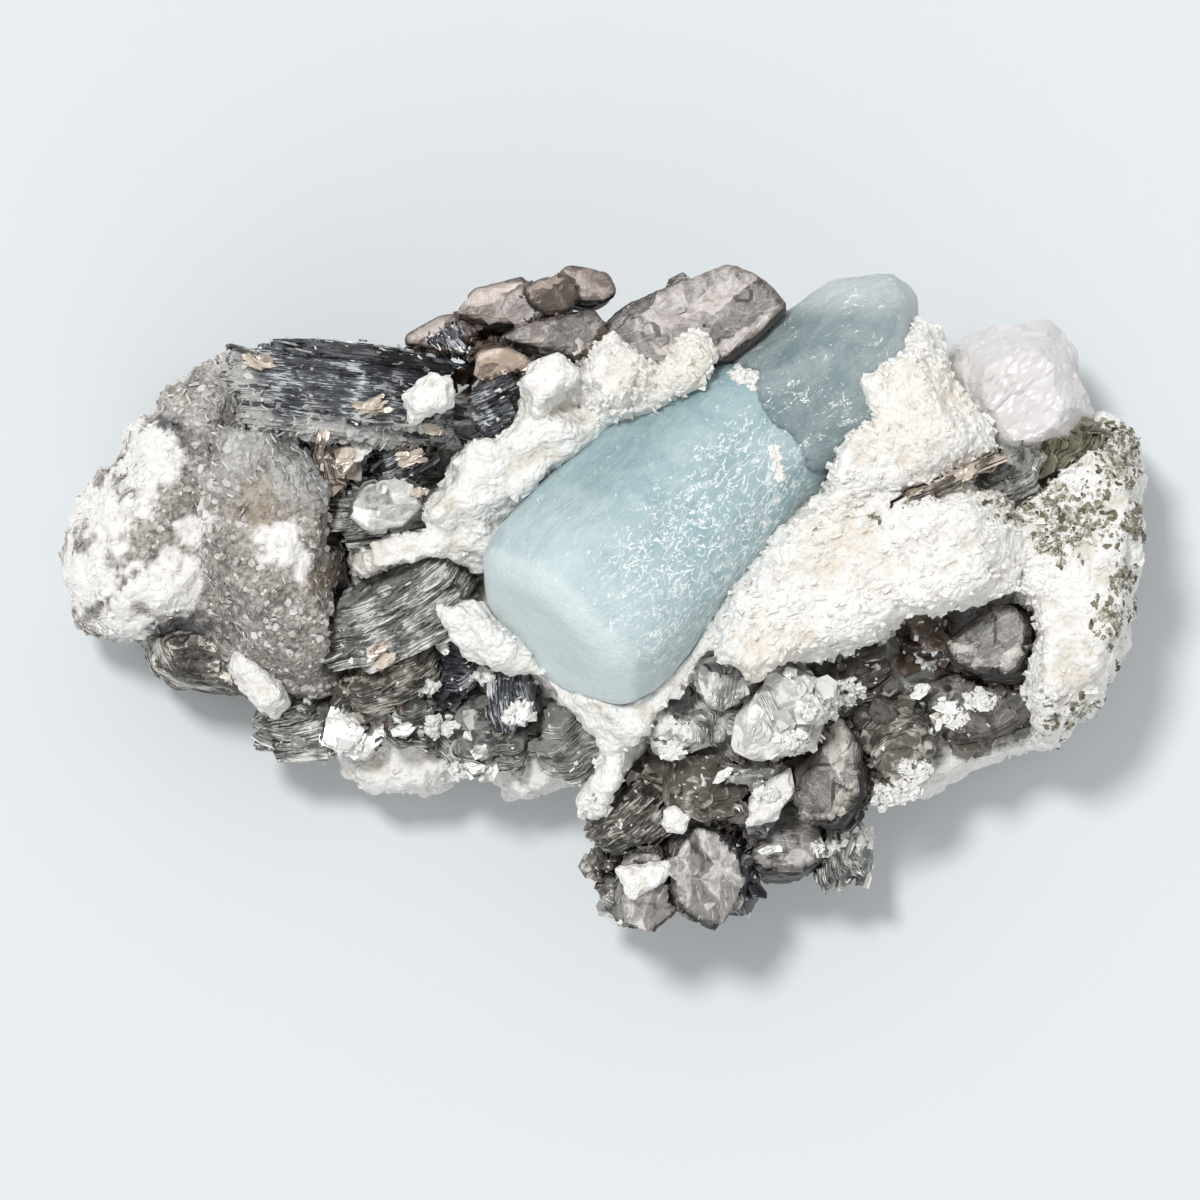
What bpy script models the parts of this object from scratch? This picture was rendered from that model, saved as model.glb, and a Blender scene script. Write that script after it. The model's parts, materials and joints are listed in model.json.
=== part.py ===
"""Aquamarine on albite with muscovite: a loose hand specimen, 151 mm long, lying on its broken back.

X runs along the specimen, Y across it and Z up, away from the surface it rests on. The origin is on
the flat broken foot, below the middle of the specimen. Every number named here is in millimetres;
the meshes are written in metres.

Two pale blue beryl prisms sit in a white feldspar matrix. Mica books, each a stack of sheets, grow
round them, and a mass of fine mica forms the left end.
"""

import math
import random
from collections import namedtuple

import bmesh
import bpy
from mathutils import Vector

MM = 0.001
GAP = 0.4  # clearance that a piece keeps from its neighbour
WELD = 0.003  # points closer than this are one point
SLAB_TOP = 24.0  # the level that the mica books stand on

FUSE_VOXEL = 1.3  # the grain at which overlapping lumps fuse into one rock
SWELL_SIZE, SWELL_DEPTH = 9, 3.5  # broad swells of a rock surface
KNOB_SIZE, KNOB_DEPTH = 3.5, 1.5  # knobs on the swells
MATRIX_FACES = 1250  # facets of each rock before its neighbours are cut out of it
MASS_FACES = 440
FLATNESS = 0.3  # degrees: faces that turn less than this are one plane
ROCK_FLATNESS = 5.0

# ---------------------------------------------------------------- sizes of the beryl crystals

Prism = namedtuple(
    "Prism", "name flats length heading rise roll free_end rounding taper breaks slot"
)

# Heading is the plan direction that the free end points to, rise the tilt above the horizontal and
# roll the turn about its own length, all in degrees; rounding is half the turn at a worn edge. Each
# break is a flat fracture that takes off a corner: a point in it and the way it faces.
PRISM = Prism("aquamarine_crystal", 28.5, 48.5, 225.0, 21.0, -6.0, (-7.1, -5.3, 46.3),
              0.16, 0.13, (((19.2, 32.6, 34), (0.15, 0.98, 0.1)),), "aquamarine")
REAR_PRISM = Prism("aquamarine_crystal_rear", 21.5, 50.0, 34.0, 9.0, 8.0, (45.3, 38.6, 37.1),
                   0.10, -0.05, (((37, 44.8, 38), (-0.06, 0.99, 0.12)),
                                 ((43.2, 40, 37), (0.99, -0.02, 0.12))), "aquamarine_rear")

# ---------------------------------------------------------------- lumps that fuse into the matrix
# Each is a plan outline with its foot, widest and top levels, and how much the crown draws in.

Lump = namedtuple("Lump", "outline low wide top crown")

FOOT_GIRTH = 0.74  # girth of a lump at its foot, as a share of its outline
WAIST_GIRTH = 0.92  # and below its widest level
SHOULDER = 0.62  # how far up the shoulder of a lump is between its widest level and its top

UNDERBODY = (
    (-41, -2), (-41, 8), (-36, 20), (-24, 29), (-5.5, 34), (14, 36), (36.5, 34), (54.5, 29),
    (68, 22), (72.5, 11), (71, -5), (65, -15), (54.5, -19), (42, -22), (31, -28), (17, -31),
    (5, -31), (-2, -24), (-17, -20), (-33, -17), (-39, -10),
)
CRADLE = (
    (-15, 4), (-12, 14), (-4, 21), (5, 26), (14, 29), (27, 29), (33, 20), (28, 8), (20, -1),
    (10, -8), (0, -11), (-8, -8),
)
LEFT_ARM = (
    (-36.5, 5.5), (-35.5, 8.5), (-25, 9.5), (-18, 14), (-13, 15.5), (-10, 11), (-13, 5.5),
    (-17, 3), (-21, 5.5), (-28, 5.5), (-35, 2.5),
)
UPPER_LEFT = (
    (-21.5, 19), (-20.5, 24), (-14, 24.5), (-9, 27), (-3, 27), (5, 26), (2, 21), (-5.5, 17),
    (-11, 12), (-18, 10), (-25, 9), (-28, 10.5), (-23, 14.5),
)
TOP_LUMP = (
    (-12.5, 28.5), (-11.5, 33), (-7.5, 34.5), (-4, 33.5), (-3, 31), (-5.5, 27.5), (-8.5, 25.5),
    (-11, 25),
)
BLADE_A = (
    (-1.5, 25.5), (-2.5, 31.5), (-0.5, 37), (2, 38), (4.5, 36), (7, 33.5), (6.5, 28.5), (3, 24.5),
)
BLADE_B = (
    (3.5, 24.5), (6.5, 29.5), (10, 35.5), (14, 38), (17.5, 35.5), (16, 33), (13, 30), (8, 26),
)
BELOW_LEFT = (
    (-24.5, 0), (-19.5, -1), (-16.5, 0), (-12, -4.5), (-7.5, -8.5), (-6.5, -12), (-11, -10),
    (-17, -8), (-22.5, -4),
)
BELOW_MIDDLE = (
    (-8.5, -8.5), (0, -10.5), (8.5, -9), (14, -4), (20, -4), (21, -10), (14, -13.5),
    (7.5, -18), (4, -22), (0.5, -21.5), (-1, -18), (-6.5, -12.5),
)
FRONT_RIDGE = (
    (7.5, -12.5), (5.5, -19), (3.5, -24), (0, -29.5), (-2, -32.5), (-3, -29), (0, -24), (1, -19),
    (3, -13.5),
)
RIGHT_LOBE = (
    (11, -9), (13.5, -2.5), (19.5, 4.8), (26.5, 11.5), (34, 15.5), (42, 17), (50.5, 17), (56, 15.5),
    (59, 11), (57.5, 3), (54, 0), (47.5, -1.5), (42.5, -0.5), (39, -5.5), (32, -7), (25, -9),
    (18, -12.5), (13, -12),
)
UPPER_RIGHT = (
    (31, 15.5), (31, 21), (36, 24), (38, 26), (36, 30), (33.5, 33), (38, 35.5),
    (42.5, 39.5), (45.5, 39), (49, 32), (54, 24.5), (56.5, 19.5), (50.5, 16.5), (42, 13.5),
    (33.5, 10), (28, 8),
)
FAR_RIGHT = (
    (56, 18), (64.5, 23), (70, 26), (73.5, 24.5), (75.5, 18), (75.5, 12), (74.5, 5.5),
    (73.5, -3), (71.5, -10), (69.5, -15), (64.5, -18.5), (61.5, -20.5), (59, -14), (60, -5.5),
    (57.5, 1.5),
)
LOWER_RIGHT = (
    (39, -27), (42.5, -22), (50.5, -18), (60, -14), (65, -17.5), (62, -20.5), (55, -22),
    (50, -24.5), (42.5, -28.5),
)
LOW_LEFT = (
    (-36, -24), (-33.5, -26), (-30, -26.5), (-27, -26), (-23, -27), (-20, -24.5), (-17, -20),
    (-28, -16), (-36, -18),
)
LOW_TIP = ((-15.5, -24), (-13.5, -26.5), (-11.5, -28), (-7, -27), (-3, -24), (-7, -18), (-13, -18))
CREST_CORE = ((10, -8), (14, -20), (20, -27), (28, -27), (32, -14), (30, -6), (20, -4))

MATRIX_LUMPS = (
    Lump(UNDERBODY, -3, 15, SLAB_TOP, 0.86),
    Lump(CRADLE, 5, 20, 38, 0.8),
    Lump(LEFT_ARM, 10, 24, 40, 0.7),
    Lump(UPPER_LEFT, 10, 26, 44, 0.66),
    Lump(TOP_LUMP, 16, 30, 47, 0.6),
    Lump(BLADE_A, 16, 34, 50, 0.55),
    Lump(BLADE_B, 16, 34, 48, 0.55),
    Lump(BELOW_LEFT, 10, 26, 41, 0.7),
    Lump(BELOW_MIDDLE, 10, 26, 43, 0.7),
    Lump(FRONT_RIDGE, 10, 22, 37, 0.55),
    Lump(RIGHT_LOBE, 12, 30, 49, 0.74),
    Lump(UPPER_RIGHT, 12, 28, 50, 0.62),
    Lump(FAR_RIGHT, 4, 18, 39, 0.72),
    Lump(LOWER_RIGHT, 4, 12, 22, 0.6),
    Lump(LOW_LEFT, 4, 12, 20, 0.6),
    Lump(LOW_TIP, 4, 11, 19, 0.5),
    Lump(CREST_CORE, 10, 20, 32, 0.8),
)

# ---------------------------------------------------------------- the fine mica mass at the left end

MASS_OUTLINE = (
    (-75, 7), (-74.5, 11), (-72.5, 13.5), (-70, 17), (-67, 19), (-65, 20.5), (-65.5, 23),
    (-64, 25), (-61.5, 27), (-61.5, 29), (-58.5, 31), (-55, 33), (-52, 35), (-48.5, 34),
    (-46, 29.5), (-41.5, 24.5), (-37.5, 20.5), (-35, 16.5), (-36.5, 11), (-35.5, 6.5), (-36.5, 2),
    (-35.5, -3), (-35, -8), (-34.5, -12), (-37, -14), (-44, -15.5), (-49.5, -11), (-54, -7),
    (-59, -5.5), (-64, -6), (-68, -5.5), (-72.5, -3), (-73.5, -1), (-75, 3),
)
MASS_HUMP = (
    (-58, 18), (-54, 27), (-51, 34), (-48, 33), (-44, 26), (-39, 20), (-36, 15), (-37, 7),
    (-37, 0), (-36.5, -6), (-41, -11), (-49, -8), (-55, 2),
)
MASS_LUMPS = (
    Lump(MASS_OUTLINE, -3, 14, 31, 0.66),
    Lump(MASS_HUMP, 10, 24, 42, 0.6),
)

# ---------------------------------------------------------------- small solids made from one outline

SMALL_LUMPS = {
    "albite_crystal_on_book": (
        Lump(((-27, 28), (-25.5, 29.5), (-23.5, 31.5), (-20.5, 30.5), (-20.5, 27), (-23.5, 26),
              (-26, 24.5)), 43, 46, 51.5, 0.7),
        "albite",
    ),
    "quartz_crystal": (
        Lump(((48.5, 32), (50, 35.5), (55.5, 38.5), (63, 39), (66, 35), (66.5, 31.5), (69, 26),
              (66.5, 21.5), (61.5, 18.5), (56.5, 17), (53.5, 20.5), (50.5, 26.5)),
             9, 22, 39, 0.58),
        "quartz",
    ),
    "dark_mica_knob": (
        Lump(((-64.5, -4.5), (-63, -9.5), (-59.5, -12), (-49.5, -13.5), (-46.5, -15),
              (-45, -11.5), (-49, -7), (-53, -3), (-59, -2)), 3, 11, 25, 0.6),
        "dark_mica",
    ),
    "albite_vein": (
        Lump(((-52, -5.5), (-49.5, -6.5), (-44, -12), (-43, -15), (-45, -17), (-48, -15),
              (-52, -9.5)), 9, 17, 31, 0.6),
        "albite",
    ),
    "albite_chip_large": (
        Lump(((2, -37.5), (5.5, -37), (9.5, -36.5), (9, -39), (4.5, -41.5)), 31, 32.5, 34, 0.85),
        "albite",
    ),
    "albite_chip_upper": (
        Lump(((9, -29.5), (10, -29), (12.5, -30.5), (11.5, -32.5), (9.5, -32)), 34, 35.5, 37, 0.75),
        "albite",
    ),
    "albite_flake": (
        Lump(((20.5, -31.5), (21, -28), (22.5, -26), (26.5, -23.5), (27, -26.5), (24, -30.5)),
             27, 30, 32.5, 0.85),
        "albite",
    ),
}

# ---------------------------------------------------------------- mica books
# A book is a stack of sheets. Size is its length along the sheets, its depth and its thickness;
# shift slides its upper sheets along, and dome bends its sheets down towards their edges.

Book = namedtuple("Book", "name centre along across size sheets corners shift dome slot")

BOOKS = (
    Book("muscovite_book_large", (-34.8, 28.6, 34.5), (0.99, -0.11, 0), (0.11, 0.99, -0.04),
         (32.5, 23, 13.5), 5, 9, -2.5, 0, "dark_mica"),
    Book("muscovite_book_upper", (-16.5, 26.4, 35), (0.93, 0.37, 0), (-0.37, 0.93, 0.12),
         (12, 15, 7), 3, 8, 1.0, 0, "dark_mica"),
    Book("muscovite_plate_tan", (-37.2, 19.6, 34.5), (-0.2, 0.95, 0), (0.4, 0.15, 0.9),
         (8, 5, 8), 2, 7, 0, 0, "silver_mica"),
    Book("muscovite_book_chevron", (-26.8, 20.6, 34), (0.88, 0.42, 0), (-0.42, 0.88, 0.25),
         (13, 14, 6.5), 3, 8, -1.0, 0, "dark_mica"),
    Book("muscovite_book_row", (-29.6, 13.2, 31), (0.98, 0.18, 0), (-0.18, 0.97, 0.16),
         (19, 17, 9), 4, 8, 1.0, 0, "silver_mica"),
    Book("muscovite_book_middle", (-27.4, -0.8, 30), (0.85, 0.52, 0), (-0.50, 0.82, 0.28),
         (23, 17, 10), 4, 8, 1.5, 0, "silver_mica"),
    Book("muscovite_book_under_middle", (-29.0, -9.8, 27), (0.9, 0.4, 0.1), (-0.25, 0.7, 0.67),
         (15, 12, 8), 3, 8, 0, 0, "dark_mica"),
    Book("muscovite_book_inner_left", (-19.0, -8.4, 29), (0.8, 0.55, 0), (-0.4, 0.6, 0.7),
         (11, 10, 8), 2, 8, 0, 0, "dark_mica"),
    Book("muscovite_book_low_left", (-41.4, -17.4, 18), (0.96, 0.26, 0), (-0.24, 0.9, 0.36),
         (14, 13, 9), 3, 7, 0, 0, "dark_mica"),
    Book("muscovite_disc_bright", (-34.0, -18.2, 25), (1, 0.1, 0.1), (-0.1, 0.25, 0.96),
         (8.5, 7.5, 6), 2, 8, 0, 0.6, "silver_mica"),
    Book("muscovite_shell_book", (-16.2, -17.8, 25), (0.97, 0.1, 0), (0.08, 0.5, 0.86),
         (12.5, 12, 9), 3, 9, 0, 1.6, "silver_mica"),
    Book("muscovite_book_low_middle", (-26.4, -15.5, 26), (0.9, -0.3, 0), (0.25, 0.6, 0.76),
         (11, 11, 8), 2, 8, 0, 0.5, "dark_mica"),
    Book("muscovite_book_upright", (-12.2, -13.2, 29), (-0.08, 0.99, 0), (0.98, 0.08, 0.2),
         (12, 12, 5.5), 3, 7, 0, 0, "dark_mica"),
    Book("muscovite_book_low_right", (-4.0, -19.4, 26), (0.9, 0.4, 0), (-0.35, 0.75, 0.56),
         (13, 12, 9), 3, 8, 0, 0, "dark_mica"),
    Book("rosette_plates_right", (13.6, -37.6, 27), (-0.2, 0.98, 0), (0.22, -0.12, 0.97),
         (14, 9.5, 10), 3, 8, 0, 0, "grey_mica"),
    Book("rosette_plates_left", (7.2, -38.8, 26), (0.3, 0.95, 0), (-0.15, -0.28, 0.95),
         (12.5, 9.5, 10), 3, 8, 0, 0, "grey_mica"),
    Book("rosette_book_left", (4.6, -30.2, 27), (0.72, 0.69, 0), (-0.66, 0.70, 0.28),
         (13, 14, 7), 3, 8, 0, 0, "dark_mica"),
    Book("rosette_book_dark", (12.6, -26.0, 29), (0.9, -0.4, 0), (0.25, 0.35, 0.9),
         (15, 12, 10), 3, 8, 0, 0, "dark_mica"),
    Book("rosette_book_right", (18.2, -37.6, 23), (0, 1, 0), (0.84, -0.1, 0.53),
         (14, 12, 5.5), 3, 7, 0, 0, "dark_mica"),
    Book("rosette_book_foot", (5.0, -41.0, 18.5), (0.97, -0.2, 0), (0.15, 0.6, 0.78),
         (11, 7, 8), 2, 8, 0, 0.5, "dark_mica"),
    Book("rosette_book_edge", (1.4, -37.6, 19), (0.1, 0.99, 0), (-0.8, 0.05, 0.6),
         (8, 8, 5), 2, 7, 0, 0, "dark_mica"),
    Book("rosette_crest_small", (16.6, -11.6, 39), (0.7, 0.7, 0), (-0.45, -0.32, 0.83),
         (10, 7.5, 9), 3, 7, 1.0, 1.0, "silver_mica"),
    Book("rosette_crest_large", (23.4, -16.2, 37), (0.75, 0.65, 0), (-0.46, -0.30, 0.83),
         (15.5, 12.5, 12), 5, 8, 1.0, 1.5, "silver_mica"),
    Book("rosette_crest_left", (10.6, -17.4, 36), (0.6, 0.8, 0), (-0.3, -0.1, 0.95),
         (10, 9, 8), 3, 7, 0, 0.8, "silver_mica"),
    Book("rosette_crest_foot", (21.0, -23.6, 31), (0.95, 0.2, 0), (0.1, -0.5, 0.86),
         (11, 8, 9), 3, 7, 0, 0.6, "dark_mica"),
    Book("rosette_book_dark_right", (19.2, -30.6, 26), (0.5, 0.85, 0), (0.55, -0.2, 0.81),
         (11, 10, 9), 2, 7, 0, 0, "dark_mica"),
    Book("lower_plate_clear", (54.4, -5.2, 31), (0.85, 0.5, 0), (-0.15, 0.18, 0.97),
         (13, 10, 10), 3, 9, 0, 0, "smoky_mica"),
    Book("lower_book_hollow", (45.4, -5.0, 28), (1, 0, 0), (0.1, 0.5, 0.86),
         (9, 8, 8), 2, 7, 0, 0, "dark_mica"),
    Book("lower_book_left", (35.4, -10.2, 30), (1, 0.1, 0), (0, 0.5, 0.86),
         (11, 7, 8), 2, 7, 0, 0, "dark_mica"),
    Book("lower_plates_brown", (31.8, -24.2, 27), (0.1, 0.99, 0), (-0.22, 0.12, 0.97),
         (16, 11, 10), 3, 8, 0, 0.4, "smoky_mica"),
    Book("lower_book_tilted", (40.6, -21.4, 26), (0.85, 0.5, 0.1), (0.22, -0.5, 0.84),
         (14.5, 12, 9), 4, 8, 0, 0.6, "grey_mica"),
    Book("lower_book_mottled", (51.4, -15.0, 26), (0.97, 0.2, 0), (0.05, 0.1, 0.99),
         (19, 11.5, 10), 3, 8, 0, 0.5, "grey_mica"),
    Book("lower_plate_rim", (25.2, -34.4, 20), (0.95, -0.1, 0), (0.05, 0.3, 0.95),
         (11, 9, 9), 3, 8, 0, 0.8, "grey_mica"),
    Book("lower_book_foot", (33.4, -35.6, 18), (-0.15, 0.98, 0), (0.88, 0.15, 0.44),
         (10, 9, 6.5), 3, 7, 0, 0, "dark_mica"),
    Book("right_book_spray", (63.2, 20.2, 32.5), (0.62, 0.78, 0.1), (-0.5, 0.4, 0.75),
         (15, 9, 8), 3, 7, 0, 0, "dark_mica"),
    Book("right_book_seam", (57.2, 17.2, 36.5), (0.85, 0.5, 0), (-0.38, 0.6, 0.7),
         (12, 8, 8), 3, 7, 0, 0, "dark_mica"),
    Book("right_book_olive", (66.8, 9.0, 33.2), (0.88, 0.47, 0), (0.2, 0.3, 0.93),
         (12, 8, 7), 2, 8, 0, 0, "olive_mica"),
    Book("mica_seam", (46.5, 16.0, 43.5), (0.92, 0.39, 0), (-0.38, 0.91, 0.14),
         (20, 8, 1.8), 1, 8, 0, 0, "olive_mica"),
    Book("smoky_tablet", (13.5, 39.2, 34), (0.91, 0.41, 0), (-0.08, 0.2, 0.97),
         (23, 12.5, 14), 3, 11, 0, 0, "smoky_mica"),
    Book("smoky_crystal_left", (-13.6, 41.3, 35.5), (0.97, 0.22, 0), (-0.1, 0.1, 0.98),
         (12, 6, 9), 2, 8, 0, 0, "smoky_mica"),
    Book("smoky_crystal_dark", (-6.6, 42.4, 37), (0.9, 0.3, 0), (0.15, 0.15, 0.97),
         (7.5, 5.5, 10), 2, 8, 0, 0, "smoky_mica"),
    Book("smoky_crystal_long", (-6.0, 37.3, 37), (0.94, 0.34, 0), (0.05, 0.12, 0.98),
         (16, 5, 9), 2, 9, 0, 0, "smoky_mica"),
    Book("smoky_crystal_peak", (-2.2, 44.2, 32.5), (0.95, -0.2, 0), (0.08, 0.1, 0.98),
         (8, 5, 12), 2, 8, 0, 0, "smoky_mica"),
    Book("smoky_crystal_low_left", (-21.6, 37.7, 32), (0.9, 0.42, 0), (-0.1, 0.12, 0.98),
         (12, 4, 9), 2, 8, 0, 0, "smoky_mica"),
    Book("smoky_crystal_row", (-13.0, 38.7, 34.5), (0.97, 0.1, 0), (0, -0.05, 0.99),
         (8, 3.5, 9), 2, 7, 0, 0, "smoky_mica"),
    Book("tan_sheet_block", (-12.4, 33.8, 36.5), (0.92, 0.39, 0), (0.05, -0.2, 0.97),
         (14, 5, 7), 2, 9, 0, 0, "silver_mica"),
    Book("muscovite_book_corner", (-20.4, 34.6, 34.5), (0.6, -0.8, 0), (0.8, 0.6, 0.1),
         (9, 10, 7), 2, 7, 0, 0, "dark_mica"),
    Book("clear_crystal", (-29.4, 13.2, 40.5), (0.98, 0.2, 0), (0, 0, 1),
         (9.5, 6.8, 4), 1, 8, 0, 0, "quartz"),
    Book("albite_crystal_notch", (-34.2, 20.4, 38.5), (0.92, 0.38, 0), (0, -0.2, 0.98),
         (5.4, 2.6, 3.4), 1, 7, 0, 0, "albite"),
)

# Outlines in plan of the crystals whose shape stands out.
PLANS = {
    "smoky_tablet": (
        (0.5, 38), (4, 40.5), (11, 43.5), (17, 46), (20, 45), (22.5, 43.5), (25, 40.5),
        (22, 37.5), (17, 33.5), (9, 31.5), (3, 34),
    ),
    "smoky_crystal_left": (
        (-20, 39.8), (-17.7, 42.8), (-11.1, 44.5), (-10.2, 43.1), (-9, 41.2), (-7.5, 39.8),
        (-10.4, 38.5), (-16.2, 38.5),
    ),
    "smoky_crystal_dark": (
        (-10.2, 43.2), (-8.4, 44.3), (-5.3, 45.1), (-4.1, 44.3), (-2.9, 42.1), (-3.9, 40.5),
        (-7.1, 39.8), (-9.5, 41.2),
    ),
    "smoky_crystal_peak": (
        (-6, 45.2), (-4.6, 46.5), (-1.3, 46), (0.9, 45.1), (2, 42.9), (0.5, 42), (-1.7, 41.5),
        (-4, 42.1),
    ),
    "smoky_crystal_low_left": (
        (-28, 36), (-25.3, 37.8), (-22.4, 39.4), (-19.9, 39.8), (-16.2, 38.9), (-17.3, 37.2),
        (-18.4, 36), (-23.5, 35),
    ),
    "smoky_crystal_row": (
        (-17, 39.2), (-15.5, 40.3), (-11, 40.5), (-9, 39.2), (-10.4, 37.6), (-13.7, 36.8),
        (-16.2, 37.6),
    ),
    "smoky_crystal_long": (
        (-14.3, 36.3), (-11.9, 37.6), (-8.3, 39.2), (-0.5, 40), (1.4, 37.4), (0.5, 35.4),
        (-1.7, 33.4), (-4.5, 34.2), (-10, 35),
    ),
    "tan_sheet_block": (
        (-18.6, 30.9), (-18.4, 33), (-17, 34.2), (-13.3, 35.4), (-7.5, 37.2), (-5.3, 36.7),
        (-5.3, 34.8), (-8.2, 33), (-11.5, 30.8),
    ),
    "lower_plate_clear": (
        (48.1, -5.8), (50.7, -3.6), (54.5, -0.3), (58.2, 0.1), (60.4, -2.8), (59.5, -7.1),
        (57.8, -9.8), (52.8, -10.2), (49, -8.8),
    ),
}

# ---------------------------------------------------------------- colours and roughness

FINISHES = {
    "aquamarine": ((0.46, 0.66, 0.72, 1), 0.25),
    "aquamarine_rear": ((0.30, 0.45, 0.50, 1), 0.22),
    "albite": ((0.86, 0.84, 0.80, 1), 0.75),
    "fine_mica": ((0.33, 0.32, 0.30, 1), 0.55),
    "dark_mica": ((0.07, 0.07, 0.08, 1), 0.35),
    "silver_mica": ((0.36, 0.36, 0.35, 1), 0.35),
    "grey_mica": ((0.28, 0.26, 0.24, 1), 0.30),
    "smoky_mica": ((0.22, 0.17, 0.15, 1), 0.25),
    "olive_mica": ((0.16, 0.14, 0.09, 1), 0.40),
    "quartz": ((0.80, 0.78, 0.77, 1), 0.30),
}


def clear_scene():
    for obj in list(bpy.data.objects):
        bpy.data.objects.remove(obj, do_unlink=True)


def material(slot):
    """One Principled material for each kind of mineral."""
    if slot in bpy.data.materials:
        return bpy.data.materials[slot]
    colour, roughness = FINISHES[slot]
    made = bpy.data.materials.new(slot)
    made.use_nodes = True
    shader = made.node_tree.nodes["Principled BSDF"]
    shader.inputs["Base Color"].default_value = colour
    shader.inputs["Roughness"].default_value = roughness
    shader.inputs["Metallic"].default_value = 0.0
    made.diffuse_color = colour
    return made


def new_object(name, bm, slot=None):
    """Turns a bmesh whose points are in millimetres into an object in metres."""
    bmesh.ops.recalc_face_normals(bm, faces=bm.faces)
    bmesh.ops.scale(bm, vec=Vector((MM, MM, MM)), verts=bm.verts)
    mesh = bpy.data.meshes.new(name)
    bm.to_mesh(mesh)
    bm.free()
    obj = bpy.data.objects.new(name, mesh)
    bpy.context.scene.collection.objects.link(obj)
    if slot:
        mesh.materials.append(material(slot))
    return obj


def slice_off(bm, point, face):
    """Cuts away what lies beyond a plane and closes the cut of a convex body."""
    whole = list(bm.verts) + list(bm.edges) + list(bm.faces)
    bmesh.ops.bisect_plane(
        bm, geom=whole, dist=1e-6, plane_co=point, plane_no=face, clear_outer=True
    )
    rim = [edge for edge in bm.edges if edge.is_boundary]
    bmesh.ops.edgeloop_fill(bm, edges=rim)


def skin(bm, rings):
    """Joins rings of equal length into one closed side wall, with a flat cap on each end."""
    rows = [[bm.verts.new(point) for point in ring] for ring in rings]
    count = len(rows[0])
    for below, above in zip(rows, rows[1:]):
        for i in range(count):
            j = (i + 1) % count
            bm.faces.new((below[i], below[j], above[j], above[i]))
    bm.faces.new(rows[0])
    bm.faces.new(rows[-1])


# ---------------------------------------------------------------- rock bodies


def lump_rings(lump, rng, jitter=0.03):
    """Levels of a boulder: a drawn-in foot, the full outline at its widest, and a rounded crown."""
    centre = sum((Vector(p) for p in lump.outline), Vector((0, 0))) / len(lump.outline)
    rise = lump.top - lump.wide
    drop = lump.wide - lump.low
    levels = (
        (lump.low, FOOT_GIRTH),
        (lump.low + 0.45 * drop, WAIST_GIRTH),
        (lump.wide, 1.0),
        (lump.wide + SHOULDER * rise, min(0.6 + 0.5 * lump.crown, 1.0)),
        (lump.top, lump.crown),
    )
    rings = []
    for z, girth in levels:
        ring = []
        for point in lump.outline:
            away = (Vector(point) - centre) * girth * (1 + rng.uniform(-jitter, jitter))
            ring.append(Vector((centre.x + away.x, centre.y + away.y, z)))
        rings.append(ring)
    return rings


def small_lump(name, lump, slot, seed):
    bm = bmesh.new()
    skin(bm, lump_rings(lump, random.Random(seed), jitter=0.05))
    bmesh.ops.triangulate(bm, faces=bm.faces)
    return new_object(name, bm, slot)


def settle(obj):
    """Replaces an object's mesh by what its modifiers make of it."""
    graph = bpy.context.evaluated_depsgraph_get()
    graph.update()
    made = bpy.data.meshes.new_from_object(obj.evaluated_get(graph))
    obj.modifiers.clear()
    obj.data = made


def roughen(obj, name, size, strength):
    """Pushes the surface in and out by a cloud pattern of the given grain size."""
    texture = bpy.data.textures.new(name, "CLOUDS")
    texture.noise_scale = size * MM
    texture.noise_depth = 2
    push = obj.modifiers.new(name, "DISPLACE")
    push.texture = texture
    push.texture_coords = "LOCAL"
    push.strength = strength * MM
    push.mid_level = 0.5


def cut_foot_flat(obj):
    """Slices off what lies below z = 0 and closes the slice, which is the face it rests on."""
    bm = bmesh.new()
    bm.from_mesh(obj.data)
    everything = list(bm.verts) + list(bm.edges) + list(bm.faces)
    bmesh.ops.bisect_plane(
        bm, geom=everything, dist=1e-7, plane_co=(0, 0, 0), plane_no=(0, 0, -1), clear_outer=True
    )
    rim = [edge for edge in bm.edges if edge.is_boundary]
    bmesh.ops.triangle_fill(bm, use_beauty=True, edges=rim, normal=(0, 0, -1))
    bmesh.ops.recalc_face_normals(bm, faces=bm.faces)
    bm.to_mesh(obj.data)
    bm.free()


def fused_lumps(name, lumps, slot, faces, seed):
    """One rock body: overlapping lumps fused, roughened and reduced to flat facets."""
    rng = random.Random(seed)
    bm = bmesh.new()
    for lump in lumps:
        skin(bm, lump_rings(lump, rng))
    obj = new_object(name, bm, slot)
    fuse = obj.modifiers.new("fuse", "REMESH")
    fuse.mode = "VOXEL"
    fuse.voxel_size = FUSE_VOXEL * MM
    roughen(obj, name + "_swells", SWELL_SIZE, SWELL_DEPTH)
    roughen(obj, name + "_knobs", KNOB_SIZE, KNOB_DEPTH)
    settle(obj)
    reduce = obj.modifiers.new("facets", "DECIMATE")
    reduce.ratio = faces / (2 * len(obj.data.polygons))
    settle(obj)
    cut_foot_flat(obj)
    keep_largest(obj)
    return obj


# ---------------------------------------------------------------- mica books


def frame_of(along, across):
    """Unit axes of a stack: along its sheets, sideways in them, and across them."""
    up = Vector(across).normalized()
    run = Vector(along)
    run = (run - up * run.dot(up)).normalized()
    return run, up.cross(run), up


def sheet_outline(item, rng, ragged=0.08):
    """The worn outline of a sheet, in its own plane, as offsets from the middle of the stack."""
    length, depth, _ = item.size
    turn = rng.uniform(0, math.tau)
    points = []
    for i in range(item.corners):
        angle = turn + math.tau * (i + rng.uniform(-0.22, 0.22)) / item.corners
        reach = 0.5 * (1.04 + rng.uniform(-ragged, ragged))
        points.append((length * reach * math.cos(angle), depth * reach * math.sin(angle)))
    return points


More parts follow.
